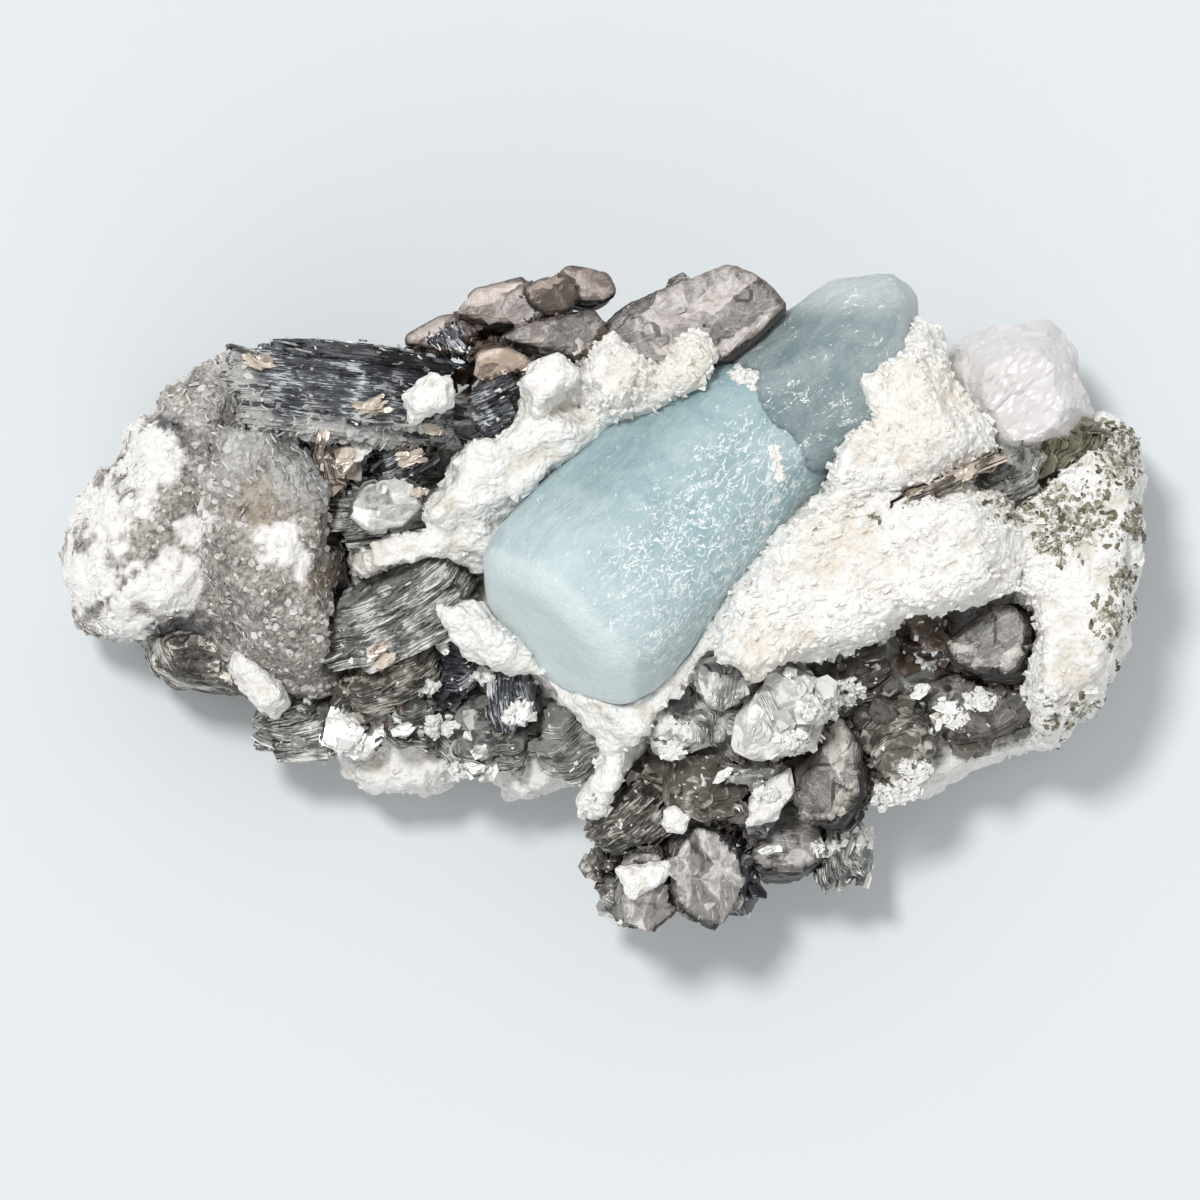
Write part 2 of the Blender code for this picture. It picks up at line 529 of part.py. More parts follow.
def plan_outline(item):
    """The outline of a stack whose top is known in plan, as offsets in the plane of its sheets."""
    run, side, up = frame_of(item.along, item.across)
    top = Vector(item.centre) + up * (item.size[2] / 2)
    turn = run.x * side.y - run.y * side.x
    points = []
    for x, y in PLANS[item.name]:
        dx, dy = x - top.x, y - top.y
        points.append(((dx * side.y - dy * side.x) / turn, (dy * run.x - dx * run.y) / turn))
    return points


def sheet_levels(item, rng, step=0.03):
    """Shares of the thickness at which each sheet begins and ends, with a narrow step between."""
    cuts = [0.0]
    for k in range(1, item.sheets):
        cuts.append((k + rng.uniform(-0.28, 0.28)) / item.sheets)
    cuts.append(1.0)
    return [
        (cuts[k] + step * (k > 0), cuts[k + 1] - step * (k < item.sheets - 1))
        for k in range(item.sheets)
    ]


def book(item, seed):
    """A stack of sheets as one solid, each a little larger or smaller than the next."""
    rng = random.Random(seed)
    run, side, up = frame_of(item.along, item.across)
    length, depth, thickness = item.size
    outline = plan_outline(item) if item.name in PLANS else sheet_outline(item, rng)
    rings = []
    for levels in sheet_levels(item, rng):
        spread = 1 + rng.uniform(-0.10, 0.03)
        drift = Vector((rng.uniform(-0.03, 0.03) * length, rng.uniform(-0.03, 0.03) * depth))
        for share in levels:
            slide = item.shift * (2 * share - 1)
            ring = []
            for u, v in outline:
                sag = item.dome * ((2 * u / length) ** 2 + (2 * v / depth) ** 2)
                point = Vector(item.centre) + run * (u * spread + drift.x + slide)
                point += side * (v * spread + drift.y)
                point += up * ((share - 0.5) * thickness - sag)
                ring.append(point)
            rings.append(ring)
    bm = bmesh.new()
    skin(bm, rings)
    if item.dome:
        caps = [face for face in bm.faces if len(face.verts) == len(outline)]
        hubs = bmesh.ops.poke(bm, faces=caps)["verts"]
        bmesh.ops.translate(bm, verts=hubs, vec=up * item.dome)
    bmesh.ops.triangulate(bm, faces=bm.faces)
    return new_object(item.name, bm, item.slot)


# ---------------------------------------------------------------- beryl prisms


def prism_axes(item):
    """Axes of a prism: its length towards the free end, level sideways, and its upper face."""
    heading, rise, roll = (math.radians(a) for a in (item.heading, item.rise, item.roll))
    axis = Vector((
        math.cos(heading) * math.cos(rise), math.sin(heading) * math.cos(rise), math.sin(rise),
    ))
    level = Vector((-math.sin(heading), math.cos(heading), 0))
    upper = axis.cross(level)
    return (
        axis,
        level * math.cos(roll) + upper * math.sin(roll),
        upper * math.cos(roll) - level * math.sin(roll),
    )


def beryl_prism(item, seed):
    """A six-sided prism with a face upward, its edges worn round and its ends bevelled."""
    rng = random.Random(seed)
    axis, level, upper = prism_axes(item)
    corner = item.flats / math.sqrt(3)
    # place along the length from the free end, and girth there
    stations = ((-1.0, 0.72), (-0.96, 0.92), (-0.9, 0.99), (-0.5, 1.0), (-0.13, 0.985),
                (-0.045, 0.90), (0.0, 0.70))
    spokes = []
    for k in range(6):
        reach = corner * (1 + rng.uniform(-0.03, 0.03))
        for swing in (-item.rounding, item.rounding):
            angle = math.radians(60 * k) + swing
            spokes.append(level * (reach * math.cos(angle)) + upper * (reach * math.sin(angle)))
    rings = []
    for place, girth in stations:
        middle = Vector(item.free_end) + axis * (place * item.length)
        rings.append([middle + spoke * girth * (1 + item.taper * place) for spoke in spokes])
    bm = bmesh.new()
    skin(bm, rings)
    for point, face in item.breaks:
        slice_off(bm, Vector(point), Vector(face).normalized())
    bmesh.ops.triangulate(bm, faces=bm.faces)
    return new_object(item.name, bm, item.slot)


# ---------------------------------------------------------------- clearance between neighbours


SHARPEST = 2.5  # the most that a cutter's corner moves out, in clearances
BLANK = 400  # size of the cube that a block is cut from


def hidden(name, bm):
    """A cutter, which shapes its neighbours and is no part of the specimen."""
    cutter = new_object("cutter_" + name, bm)
    cutter.hide_render = True
    cutter.display_type = "WIRE"
    return cutter


def hull_cutter(obj):
    """The convex hull of a piece, grown by the clearance."""
    bm = bmesh.new()
    for vert in obj.data.vertices:
        bm.verts.new(vert.co / MM)
    bmesh.ops.convex_hull(bm, input=bm.verts)
    bmesh.ops.delete(bm, geom=[v for v in bm.verts if not v.link_faces], context="VERTS")
    bmesh.ops.dissolve_limit(bm, angle_limit=math.radians(0.5), verts=bm.verts, edges=bm.edges)
    bmesh.ops.recalc_face_normals(bm, faces=bm.faces)
    bm.normal_update()
    moves = [vert.normal * GAP * min(vert.calc_shell_factor(), SHARPEST) for vert in bm.verts]
    for vert, move in zip(bm.verts, moves):
        vert.co += move
    return hidden(obj.name, bm)


def block_cutter(obj, axes, sides=8):
    """A plain block with the given number of sides that holds a stack and its clearance."""
    run, side, up = axes
    points = [vert.co / MM for vert in obj.data.vertices]
    faces = [up, -up]
    for k in range(sides):
        angle = math.tau * k / sides
        faces.append(run * math.cos(angle) + side * math.sin(angle))
    bm = bmesh.new()
    bmesh.ops.create_cube(bm, size=BLANK)
    for normal in faces:
        reach = max(point.dot(normal) for point in points) + GAP
        slice_off(bm, normal * reach, normal)
    return hidden(obj.name, bm)


def box_of(obj):
    corners = [vert.co for vert in obj.data.vertices]
    low = Vector([min(c[i] for c in corners) for i in range(3)])
    high = Vector([max(c[i] for c in corners) for i in range(3)])
    return low, high


def boxes_meet(first, second):
    (low_a, high_a), (low_b, high_b) = first, second
    return all(low_a[i] < high_b[i] and low_b[i] < high_a[i] for i in range(3))


def carve(obj, cutters, flatness=FLATNESS):
    """Cuts each cutter that reaches the piece out of it, and keeps the largest body left."""
    bounds = box_of(obj)
    reaching = [cutter for cutter in cutters if boxes_meet(bounds, box_of(cutter))]
    for cutter in reaching:
        cut = obj.modifiers.new(cutter.name, "BOOLEAN")
        cut.operation = "DIFFERENCE"
        cut.solver = "EXACT"
        cut.object = cutter
    if reaching:
        settle(obj)
        keep_largest(obj, flatness)


def keep_largest(obj, flatness=FLATNESS):
    """Removes loose crumbs, and merges what a cut left in one plane or at one point."""
    bm = bmesh.new()
    bm.from_mesh(obj.data)
    bmesh.ops.remove_doubles(bm, verts=bm.verts, dist=WELD * MM)
    bmesh.ops.dissolve_limit(bm, angle_limit=math.radians(flatness), verts=bm.verts, edges=bm.edges)
    bmesh.ops.triangulate(bm, faces=bm.faces)
    best = max(islands(bm), key=len)
    bmesh.ops.delete(bm, geom=[v for v in bm.verts if v not in best], context="VERTS")
    bmesh.ops.recalc_face_normals(bm, faces=bm.faces)
    bm.to_mesh(obj.data)
    bm.free()


def islands(bm):
    """The sets of points that hang together."""
    found, seen = [], set()
    for start in bm.verts:
        if start in seen:
            continue
        island, front = {start}, [start]
        while front:
            vert = front.pop()
            for edge in vert.link_edges:
                other = edge.other_vert(vert)
                if other not in island:
                    island.add(other)
                    front.append(other)
        seen |= island
        found.append(island)
    return found


def main():
    clear_scene()
    cutters = []
    for seed, item in enumerate((PRISM, REAR_PRISM)):
        piece = beryl_prism(item, 3 + seed)
        carve(piece, cutters)
        cutters.append(hull_cutter(piece))
    for seed, (name, (lump, slot)) in enumerate(SMALL_LUMPS.items()):
        piece = small_lump(name, lump, slot, 200 + seed)
        carve(piece, cutters)
        cutters.append(hull_cutter(piece))
    for seed, item in enumerate(BOOKS):
        piece = book(item, 20 + seed)
        carve(piece, cutters)
        cutters.append(block_cutter(piece, frame_of(item.along, item.across)))
    mass = fused_lumps("fine_mica_mass", MASS_LUMPS, "fine_mica", MASS_FACES, seed=7)
    carve(mass, cutters, ROCK_FLATNESS)
    matrix = fused_lumps("albite_matrix", MATRIX_LUMPS, "albite", MATRIX_FACES, seed=11)
    cutters.append(block_cutter(mass, frame_of((1, 0, 0), (0, 0, 1))))
    carve(matrix, cutters, ROCK_FLATNESS)
    for cutter in cutters:
        bpy.data.objects.remove(cutter, do_unlink=True)


main()
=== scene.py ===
"""Looks of the aquamarine specimen: the surface of every mineral, the floor, the light and the camera.

The CAD solids give the place and the size of each crystal. Here each one gets its real surface: rock
with grains and blades of albite, mica books with every sheet, and clear etched beryl. Lengths in the
code are in millimetres and become metres where a mesh is made. X runs along the specimen, Y across
it and Z up.
"""

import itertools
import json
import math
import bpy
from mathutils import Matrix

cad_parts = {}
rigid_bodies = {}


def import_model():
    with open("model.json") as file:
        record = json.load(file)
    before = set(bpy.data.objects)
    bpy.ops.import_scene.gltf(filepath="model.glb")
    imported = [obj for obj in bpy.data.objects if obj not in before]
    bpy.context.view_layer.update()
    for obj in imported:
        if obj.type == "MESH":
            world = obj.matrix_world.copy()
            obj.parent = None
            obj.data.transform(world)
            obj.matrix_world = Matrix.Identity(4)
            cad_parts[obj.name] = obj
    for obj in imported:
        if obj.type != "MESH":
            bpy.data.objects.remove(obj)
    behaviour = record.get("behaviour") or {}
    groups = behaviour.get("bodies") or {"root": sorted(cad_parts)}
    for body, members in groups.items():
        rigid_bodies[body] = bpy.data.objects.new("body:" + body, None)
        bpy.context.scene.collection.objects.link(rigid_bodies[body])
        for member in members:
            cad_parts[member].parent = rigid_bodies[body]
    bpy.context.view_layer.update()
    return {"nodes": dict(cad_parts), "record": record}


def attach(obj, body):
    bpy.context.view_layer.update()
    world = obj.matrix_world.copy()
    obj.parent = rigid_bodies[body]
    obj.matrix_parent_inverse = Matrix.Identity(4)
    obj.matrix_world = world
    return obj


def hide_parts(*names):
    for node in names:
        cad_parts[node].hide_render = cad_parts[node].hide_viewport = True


bl_info = {
    "name": "Aquamarine specimen",
    "version": (1, 0, 0),
    "blender": (4, 5, 0),
    "location": "View3D > Sidebar > Specimen",
    "description": "Builds aquamarine crystals on albite and muscovite, with floor, light and camera",
    "category": "Add Mesh",
}

from collections import namedtuple

import bmesh
import bpy
import numpy as np
from mathutils import Vector
from mathutils.bvhtree import BVHTree

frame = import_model()

MM = 0.001
BODY = "root"
SLOTS = {part["node"]: part["material_slot"] for part in frame["record"]["subparts"]}

# ---------------------------------------------------------------- what grows where

# A beryl prism: the direction in plan that its free end points to, its rise and its roll, in degrees,
# the middle of its free end in millimetres, and how far its edges are worn, in smoothing passes.
Prism = namedtuple("Prism", "node heading rise roll free_end worn")
PRISMS = (
    Prism("aquamarine_crystal", 225.0, 21.0, -6.0, (-7.1, -5.3, 46.3), 15),
    Prism("aquamarine_crystal_rear", 34.0, 9.0, 8.0, (45.3, 38.6, 37.1), 4),
)

# A stack of mica sheets: the direction along its sheets and the one across them, its finish, the
# thickness of a bundle of sheets, how ragged its rim is (0 to 1), how far its upper sheets draw back
# into round steps (0 to 1), and how much it bends down to its edges, in millimetres.
Stack = namedtuple("Stack", "node along across finish leaf ragged steps bend")
STACKS = (
    Stack("muscovite_book_large", (0.99, -0.11, 0), (0.11, 0.99, -0.04), "dark", 0.24, 0.55, 0.05, 0),
    Stack("muscovite_book_upper", (0.93, 0.37, 0), (-0.37, 0.93, 0.12), "dark", 0.26, 1, 0.1, 0),
    Stack("muscovite_plate_tan", (-0.2, 0.95, 0), (0.4, 0.15, 0.9), "tan", 0.3, 0.8, 0.3, 0.4),
    Stack("muscovite_book_chevron", (0.88, 0.42, 0), (-0.42, 0.88, 0.25), "dark", 0.26, 1, 0.1, 0.6),
    Stack("muscovite_book_row", (0.98, 0.18, 0), (-0.18, 0.97, 0.16), "silver", 0.28, 1, 0.1, 0.3),
    Stack("muscovite_book_middle", (0.85, 0.52, 0), (-0.50, 0.82, 0.28), "silver", 0.26, 1, 0.1, 0.4),
    Stack("muscovite_book_under_middle", (0.9, 0.4, 0.1), (-0.25, 0.7, 0.67), "grey", 0.28, 1, 0.3, 0),
    Stack("muscovite_book_inner_left", (0.8, 0.55, 0), (-0.4, 0.6, 0.7), "dark", 0.28, 1, 0.3, 0),
    Stack("muscovite_book_low_left", (0.96, 0.26, 0), (-0.24, 0.9, 0.36), "silver", 0.28, 1, 0.2, 0.3),
    Stack("muscovite_disc_bright", (1, 0.1, 0.1), (-0.1, 0.25, 0.96), "bright", 0.3, 0.7, 0.7, 0.6),
    Stack("muscovite_shell_book", (0.97, 0.1, 0), (0.08, 0.5, 0.86), "silver", 0.28, 0.8, 0.9, 1.6),
    Stack("muscovite_book_low_middle", (0.9, -0.3, 0), (0.25, 0.6, 0.76), "silver", 0.28, 1, 0.5, 0.5),
    Stack("muscovite_book_upright", (-0.08, 0.99, 0), (0.98, 0.08, 0.2), "dark", 0.26, 1, 0.1, 0),
    Stack("muscovite_book_low_right", (0.9, 0.4, 0), (-0.35, 0.75, 0.56), "silver", 0.28, 1, 0.3, 0),
    Stack("rosette_book_left", (0.72, 0.69, 0), (-0.66, 0.70, 0.28), "grey", 0.26, 1, 0.2, 0),
    Stack("rosette_book_dark", (0.9, -0.4, 0), (0.25, 0.35, 0.9), "grey", 0.3, 1, 0.5, 0.3),
    Stack("rosette_book_right", (0, 1, 0), (0.84, -0.1, 0.53), "dark", 0.26, 0.9, 0.3, 0),
    Stack("rosette_book_foot", (0.97, -0.2, 0), (0.15, 0.6, 0.78), "silver", 0.28, 0.9, 0.6, 0.5),
    Stack("rosette_book_edge", (0.1, 0.99, 0), (-0.8, 0.05, 0.6), "grey", 0.28, 0.9, 0.3, 0),
    Stack("rosette_crest_small", (0.7, 0.7, 0), (-0.45, -0.32, 0.83), "silver", 0.28, 0.7, 1, 1.0),
    Stack("rosette_crest_large", (0.75, 0.65, 0), (-0.46, -0.30, 0.83), "bright", 0.28, 0.7, 1, 1.5),
    Stack("rosette_crest_left", (0.6, 0.8, 0), (-0.3, -0.1, 0.95), "silver", 0.28, 0.8, 0.9, 0.8),
    Stack("rosette_crest_foot", (0.95, 0.2, 0), (0.1, -0.5, 0.86), "silver", 0.28, 0.9, 0.6, 0.6),
    Stack("rosette_book_dark_right", (0.5, 0.85, 0), (0.55, -0.2, 0.81), "dark", 0.3, 1, 0.4, 0),
    Stack("lower_book_hollow", (1, 0, 0), (0.1, 0.5, 0.86), "brown", 0.3, 0.8, 0.3, 0),
    Stack("lower_book_left", (1, 0.1, 0), (0, 0.5, 0.86), "grey", 0.3, 0.8, 0.3, 0),
    Stack("lower_book_tilted", (0.85, 0.5, 0.1), (0.22, -0.5, 0.84), "grey", 0.26, 0.8, 0.6, 0.6),
    Stack("lower_book_mottled", (0.97, 0.2, 0), (0.05, 0.1, 0.99), "grey", 0.3, 0.9, 0.7, 0.5),
    Stack("lower_book_foot", (-0.15, 0.98, 0), (0.88, 0.15, 0.44), "silver", 0.26, 0.9, 0.2, 0),
    Stack("right_book_spray", (0.62, 0.78, 0.1), (-0.5, 0.4, 0.75), "olive", 0.28, 1, 0.4, 0.3),
    Stack("right_book_seam", (0.85, 0.5, 0), (-0.38, 0.6, 0.7), "silver", 0.28, 1, 0.4, 0),
    Stack("right_book_olive", (0.88, 0.47, 0), (0.2, 0.3, 0.93), "olive", 0.3, 1, 0.5, 0.3),
    Stack("mica_seam", (0.92, 0.39, 0), (-0.38, 0.91, 0.14), "tan", 0.25, 1, 0.1, 0),
    Stack("muscovite_book_corner", (0.6, -0.8, 0), (0.8, 0.6, 0.1), "dark", 0.26, 1, 0.1, 0),
)

# A glassy crystal or thick plate of mica, whose sheets hardly show: the direction along its sheets
# and the one across them, its look, how far its edges are worn (in smoothing passes) and how high
# the ledges on its faces are, in millimetres.
Chunk = namedtuple("Chunk", "node along across look worn ledge")
CHUNKS = (
    Chunk("smoky_tablet", (0.91, 0.41, 0), (-0.08, 0.2, 0.97), "smoky", 1, 0.5),
    Chunk("smoky_crystal_left", (0.97, 0.22, 0), (-0.1, 0.1, 0.98), "pink", 1, 0.5),
    Chunk("smoky_crystal_dark", (0.9, 0.3, 0), (0.15, 0.15, 0.97), "brown", 1, 0.5),
    Chunk("smoky_crystal_long", (0.94, 0.34, 0), (0.05, 0.12, 0.98), "smoky", 1, 0.9),
    Chunk("smoky_crystal_peak", (0.95, -0.2, 0), (0.08, 0.1, 0.98), "pink", 1, 0.6),
    Chunk("smoky_crystal_low_left", (0.9, 0.42, 0), (-0.1, 0.12, 0.98), "pink", 1, 0.5),
    Chunk("smoky_crystal_row", (0.97, 0.1, 0), (0, -0.05, 0.99), "brown", 1, 0.5),
    Chunk("tan_sheet_block", (0.92, 0.39, 0), (0.05, -0.2, 0.97), "tan", 3, 0.3),
    Chunk("lower_plate_clear", (0.85, 0.5, 0), (-0.15, 0.18, 0.97), "umber", 1, 0.8),
    Chunk("lower_plates_brown", (0.1, 0.99, 0), (-0.22, 0.12, 0.97), "umber", 0, 1.4),
    Chunk("rosette_plates_right", (-0.2, 0.98, 0), (0.22, -0.12, 0.97), "grey", 0, 1.2),
    Chunk("rosette_plates_left", (0.3, 0.95, 0), (-0.15, -0.28, 0.95), "grey", 0, 1.2),
    Chunk("lower_plate_rim", (0.95, -0.1, 0), (0.05, 0.3, 0.95), "grey", 0, 1.1),
    Chunk("clear_crystal", (0.98, 0.2, 0), (0, 0, 1), "pale", 0, 1.0),
)

# The looks of a beryl: the name of its material, its colour where it is milky, the colour that light
# takes on inside it, how strongly it absorbs per metre, and the share of light that its skin lets in.
Beryl = namedtuple("Beryl", "finish milky inside absorption clearness")
# the front's milky colour is also painted over its end face as light
FRONT_BERYL = Beryl("Aquamarine_etched_front", "#F1FEFF", "#93CAD6", 9.0, 0.25)
REAR_BERYL = Beryl("Aquamarine_etched_rear", "#E6ECEC", "#7FB3BD", 14.0, 0.3)

# Names of materials that several pieces share.
ALBITE = "Albite_grown_in_sugary_blades"
QUARTZ = "Quartz_milky_broken"

# The width of the faces that each solid's skin is remade of, in millimetres.
ROCK_FACE = 0.67
FELT_FACE = 0.5
CHUNK_FACE = 0.5
BERYL_FACE = 0.62

# How many loose grains and flakes are tried; the ones outside their places are left out.
BLADES_TRIED = 12000
SCALES_TRIED = 4200
BOOK_SCALES_TRIED = 3600
DUST_TRIED = 36000
RUBBLE_TRIED = 260  # on each book or glassy crystal
CRUMBS_TRIED = 48  # on each book
FLAKES_PER_MM2 = 0.14
THICK_PLATES_PER_MM2 = 0.05

PILE_EVERY = 6  # every so many flakes on a book start a pile of shards
PILE_HEIGHT = 4  # shards in a pile
WEDGE_GAP = 0.9  # rubble lies where another crystal is nearer than this, in millimetres
NOTCH_FLAKES = 9  # in each notch
NOTCH_RADIUS = 1.6  # of each of them, in millimetres
CLUMP_GRAINS = 40  # for each millimetre of a clump's radius
CRUST_GRAINS = 60  # at each place of the crust
BAR_GRAINS = 26  # at each place of the bar

# Each kind of piece has its own random draws. These numbers start them.
BLADES_SEED, FELT_SEED, LOOSE_SEED, CRUST_SEED, NEEDLE_SEED, PLATES_SEED = 5, 6, 8, 9, 10, 12
FIRST_BOOK_SEED = 300

# ---------------------------------------------------------------- patterns over points

# large odd numbers that scramble the place of a cell into a number with no pattern to it
MIX_X, MIX_Y, MIX_Z, MIX_AGAIN = (np.uint32(n) for n in (374761393, 668265263, 2246822519, 1274126177))
MIX_SEED, MIX_START = 3266489, 97
LARGEST = 2.0 ** 32 - 1


def lattice(cell, seed):
    """A repeatable number from 0 to 1 for each cell of a cubic grid."""
    x, y, z = (cell[..., i].astype(np.int64).astype(np.uint32) for i in range(3))
    mixed = x * MIX_X + y * MIX_Y + z * MIX_Z + np.uint32(seed * MIX_SEED + MIX_START)
    mixed = (mixed ^ (mixed >> np.uint32(13))) * MIX_AGAIN
    mixed = (mixed ^ (mixed >> np.uint32(15))) * MIX_Z
    return (mixed ^ (mixed >> np.uint32(16))) / LARGEST


def eased(share):
    """A share from 0 to 1 that starts and ends gently."""
    return share * share * (3 - 2 * share)


def cloud(points, size, seed):
    """Smooth swells from -1 to 1, about as wide as size; each seed gives others."""
    place = points / size
    base = np.floor(place)
    share = eased(place - base)
    total = 0
    for corner in itertools.product((0, 1), repeat=3):
        weight = np.prod(np.where(corner, share, 1 - share), axis=-1)
        total = total + weight * lattice(base + corner, seed)
    return 2 * total - 1


def grains(points, size, seed):
    """For grains about as wide as size: how far it is to the middle of the nearest one, in sizes, and
    a number from 0 to 1 that is the grain's own."""
    place = points / size
    base = np.floor(place)
    near = np.full(len(place), 9.0)  # farther than the nearest middle ever is
    own = np.zeros(len(place))
    for step in itertools.product((-1, 0, 1), repeat=3):
        cell = base + step
        middle = cell + np.stack([lattice(cell, seed + k) for k in range(3)], axis=-1)
        away = np.linalg.norm(middle - place, axis=-1)
        own = np.where(away < near, lattice(cell, seed + 7), own)
        near = np.minimum(near, away)
    return near, own


def unit(vectors):
    """The same directions, each one long."""
    return vectors / np.maximum(np.linalg.norm(vectors, axis=-1, keepdims=True), 1e-9)


def ramp(values, low, high):
    """0 below low, 1 above high and smooth between."""
    return eased(np.clip((values - low) / (high - low), 0, 1))


def spots(points, places, edge=0.22):
    """1 inside any of the round places in plan, each (x, y, radius), and 0 outside all."""
    inside = np.zeros(len(points))
    wander = cloud(points, 4.5, 61) * 0.6 + cloud(points, 1.8, 62) * 0.4 + cloud(points, 0.8, 63) * 0.3
    for x, y, radius in places:
        away = np.hypot(points[:, 0] - x, points[:, 1] - y) / radius + wander
        inside = np.maximum(inside, 1 - ramp(away, 1 - edge, 1 + edge))
    return inside


def axes_of(along, across):
    """Unit axes of a stack: along its sheets, sideways in them, and across them."""
    up = Vector(across).normalized()
    run = Vector(along)
    run = (run - up * run.dot(up)).normalized()
    return np.array(run), np.array(up.cross(run)), np.array(up)


def prism_axes(item):
    """Axes of a prism: its length towards the free end, level sideways, and its upper face."""
    heading, rise, roll = (math.radians(a) for a in (item.heading, item.rise, item.roll))
    axis = Vector((
        math.cos(heading) * math.cos(rise), math.sin(heading) * math.cos(rise), math.sin(rise),
    ))
    level = Vector((-math.sin(heading), math.cos(heading), 0))
    upper = axis.cross(level)
    return (
        np.array(axis),
        np.array(level * math.cos(roll) + upper * math.sin(roll)),
        np.array(upper * math.cos(roll) - level * math.sin(roll)),
    )


# ---------------------------------------------------------------- meshes


def mesh_of(name, points, faces):
    """A mesh in metres from points in millimetres; faces is a list of arrays of equal-sided faces."""
    mesh = bpy.data.meshes.new(name)
    mesh.vertices.add(len(points))
    mesh.vertices.foreach_set("co", (np.asarray(points) * MM).astype(np.float32).ravel())
    corners = np.concatenate([np.asarray(group).ravel() for group in faces]).astype(np.int32)
    sides = np.concatenate([np.full(len(group), len(group[0])) for group in faces])
    mesh.loops.add(len(corners))
    mesh.loops.foreach_set("vertex_index", corners)
    mesh.polygons.add(len(sides))
    starts = np.concatenate([[0], np.cumsum(sides)[:-1]]).astype(np.int32)
    mesh.polygons.foreach_set("loop_start", starts)
    mesh.update(calc_edges=True)
    return mesh


def points_of(mesh):
    """The points of a mesh, in millimetres."""
    flat = np.empty(3 * len(mesh.vertices), np.float32)
    mesh.vertices.foreach_get("co", flat)
    return flat.reshape(-1, 3).astype(float) / MM


def normals_of(mesh):
    """The way that the surface faces at each point of a mesh."""
    flat = np.empty(3 * len(mesh.vertices), np.float32)
    mesh.vertex_normals.foreach_get("vector", flat)
    return flat.reshape(-1, 3).astype(float)


def move_points(mesh, points):
    """Puts the points of a mesh to new places, in millimetres."""
    mesh.vertices.foreach_set("co", (points * MM).astype(np.float32).ravel())
    mesh.update()


def stamp(mesh, name, values):
    """Keeps a number, or three, for each point of a mesh, which its material reads."""
    values = np.asarray(values, np.float32)
    kind, field = ("FLOAT", "value") if values.ndim == 1 else ("FLOAT_VECTOR", "vector")
    mesh.attributes.new(name, kind, "POINT").data.foreach_set(field, values.ravel())


def cad_tree(*nodes):
    """One search tree, in millimetres, over the surfaces of these CAD nodes."""
    points, faces = [], []
    for node in nodes:
        mesh = frame["nodes"][node].data
        first = len(points)
        points += [vert.co / MM for vert in mesh.vertices]
        faces += [[first + i for i in face.vertices] for face in mesh.polygons]
    return BVHTree.FromPolygons(points, faces)


def mesh_tree(mesh):
    """A search tree, in millimetres, over the surface of a mesh."""
    return BVHTree.FromPolygons(
        [vert.co / MM for vert in mesh.vertices], [list(face.vertices) for face in mesh.polygons]
    )


def settled(obj):
    """The mesh that an object's modifiers make; the object itself goes."""
    graph = bpy.context.evaluated_depsgraph_get()
    graph.update()
    mesh = bpy.data.meshes.new_from_object(obj.evaluated_get(graph))
    bpy.data.objects.remove(obj, do_unlink=True)
    return mesh


def fine_skin(node, voxel):
    """The skin of a CAD solid, remade of small even faces."""
    bm = bmesh.new()
    bm.from_mesh(frame["nodes"][node].data)
    bmesh.ops.remove_doubles(bm, verts=bm.verts, dist=1e-6)
    mesh = bpy.data.meshes.new(node + "_skin")
    bm.to_mesh(mesh)
    bm.free()
    obj = bpy.data.objects.new(node + "_skin", mesh)
    bpy.context.scene.collection.objects.link(obj)
    even = obj.modifiers.new("even", "REMESH")
    even.mode = "VOXEL"
    even.voxel_size = voxel * MM
    return settled(obj)


def wear(mesh, passes):
    """Rounds the edges of a mesh, a little more with each pass."""
    bm = bmesh.new()
    bm.from_mesh(mesh)
    for _ in range(passes):
        bmesh.ops.smooth_vert(
            bm, verts=bm.verts, factor=0.5, use_axis_x=True, use_axis_y=True, use_axis_z=True
        )
    bm.to_mesh(mesh)
    bm.free()


def gap_to(points, tree):
    """How far each point is from a surface."""
    return np.array([tree.find_nearest(Vector(point))[3] for point in points])


def grow(mesh, neighbours, relief, fill=0.35, reach=1.4):
    """Pushes the skin out to meet its neighbours, and roughens it where it has room to be rough. The
    broken foot stays flat on the floor."""
    points, normals = points_of(mesh), normals_of(mesh)
    room = gap_to(points, neighbours)
    rough = relief(points) * ramp(room, 0.3, reach)
    foot = (normals[:, 2] < -0.7) & (points[:, 2] < 1.0)
    push = np.where(foot, 0.0, np.minimum(fill, room) + rough)
    points = points + normals * push[:, None]
    points[:, 2] = np.maximum(points[:, 2], 0.0)
    move_points(mesh, points)
    # painted shade: how far the skin lies in, which the albite material paints as shade
    stamp(mesh, "deep", ramp(-rough, -0.1, 0.9))
    return points


def scattered(mesh, count, rng, keep):
    """Points spread evenly over a mesh with the normal at each, of which keep(points, normals) picks."""
    points = points_of(mesh)
    mesh.calc_loop_triangles()
    flat = np.empty(3 * len(mesh.loop_triangles), np.int32)
    mesh.loop_triangles.foreach_get("vertices", flat)
    corners = points[flat.reshape(-1, 3)]
    cross = np.cross(corners[:, 1] - corners[:, 0], corners[:, 2] - corners[:, 0])
    area = np.linalg.norm(cross, axis=1)
    pick = rng.choice(len(area), size=count, p=area / area.sum())
    a, b = rng.random(count), rng.random(count)
    flip = a + b > 1
    a, b = np.where(flip, 1 - a, a)[:, None], np.where(flip, 1 - b, b)[:, None]
    corners = corners[pick]
    places = corners[:, 0] * (1 - a - b) + corners[:, 1] * a + corners[:, 2] * b
    normals = unit(cross[pick])
    chosen = keep(places, normals)
    return places[chosen], normals[chosen]


def stray(rows, rng):
    """A random direction and length for each row of points."""
    return rng.normal(0, 1, rows.shape)


def side_of(tips, hints):
    """A direction across each tip, as near its hint as it can be."""
    flat = hints - tips * np.sum(hints * tips, axis=1, keepdims=True)
    return unit(flat)


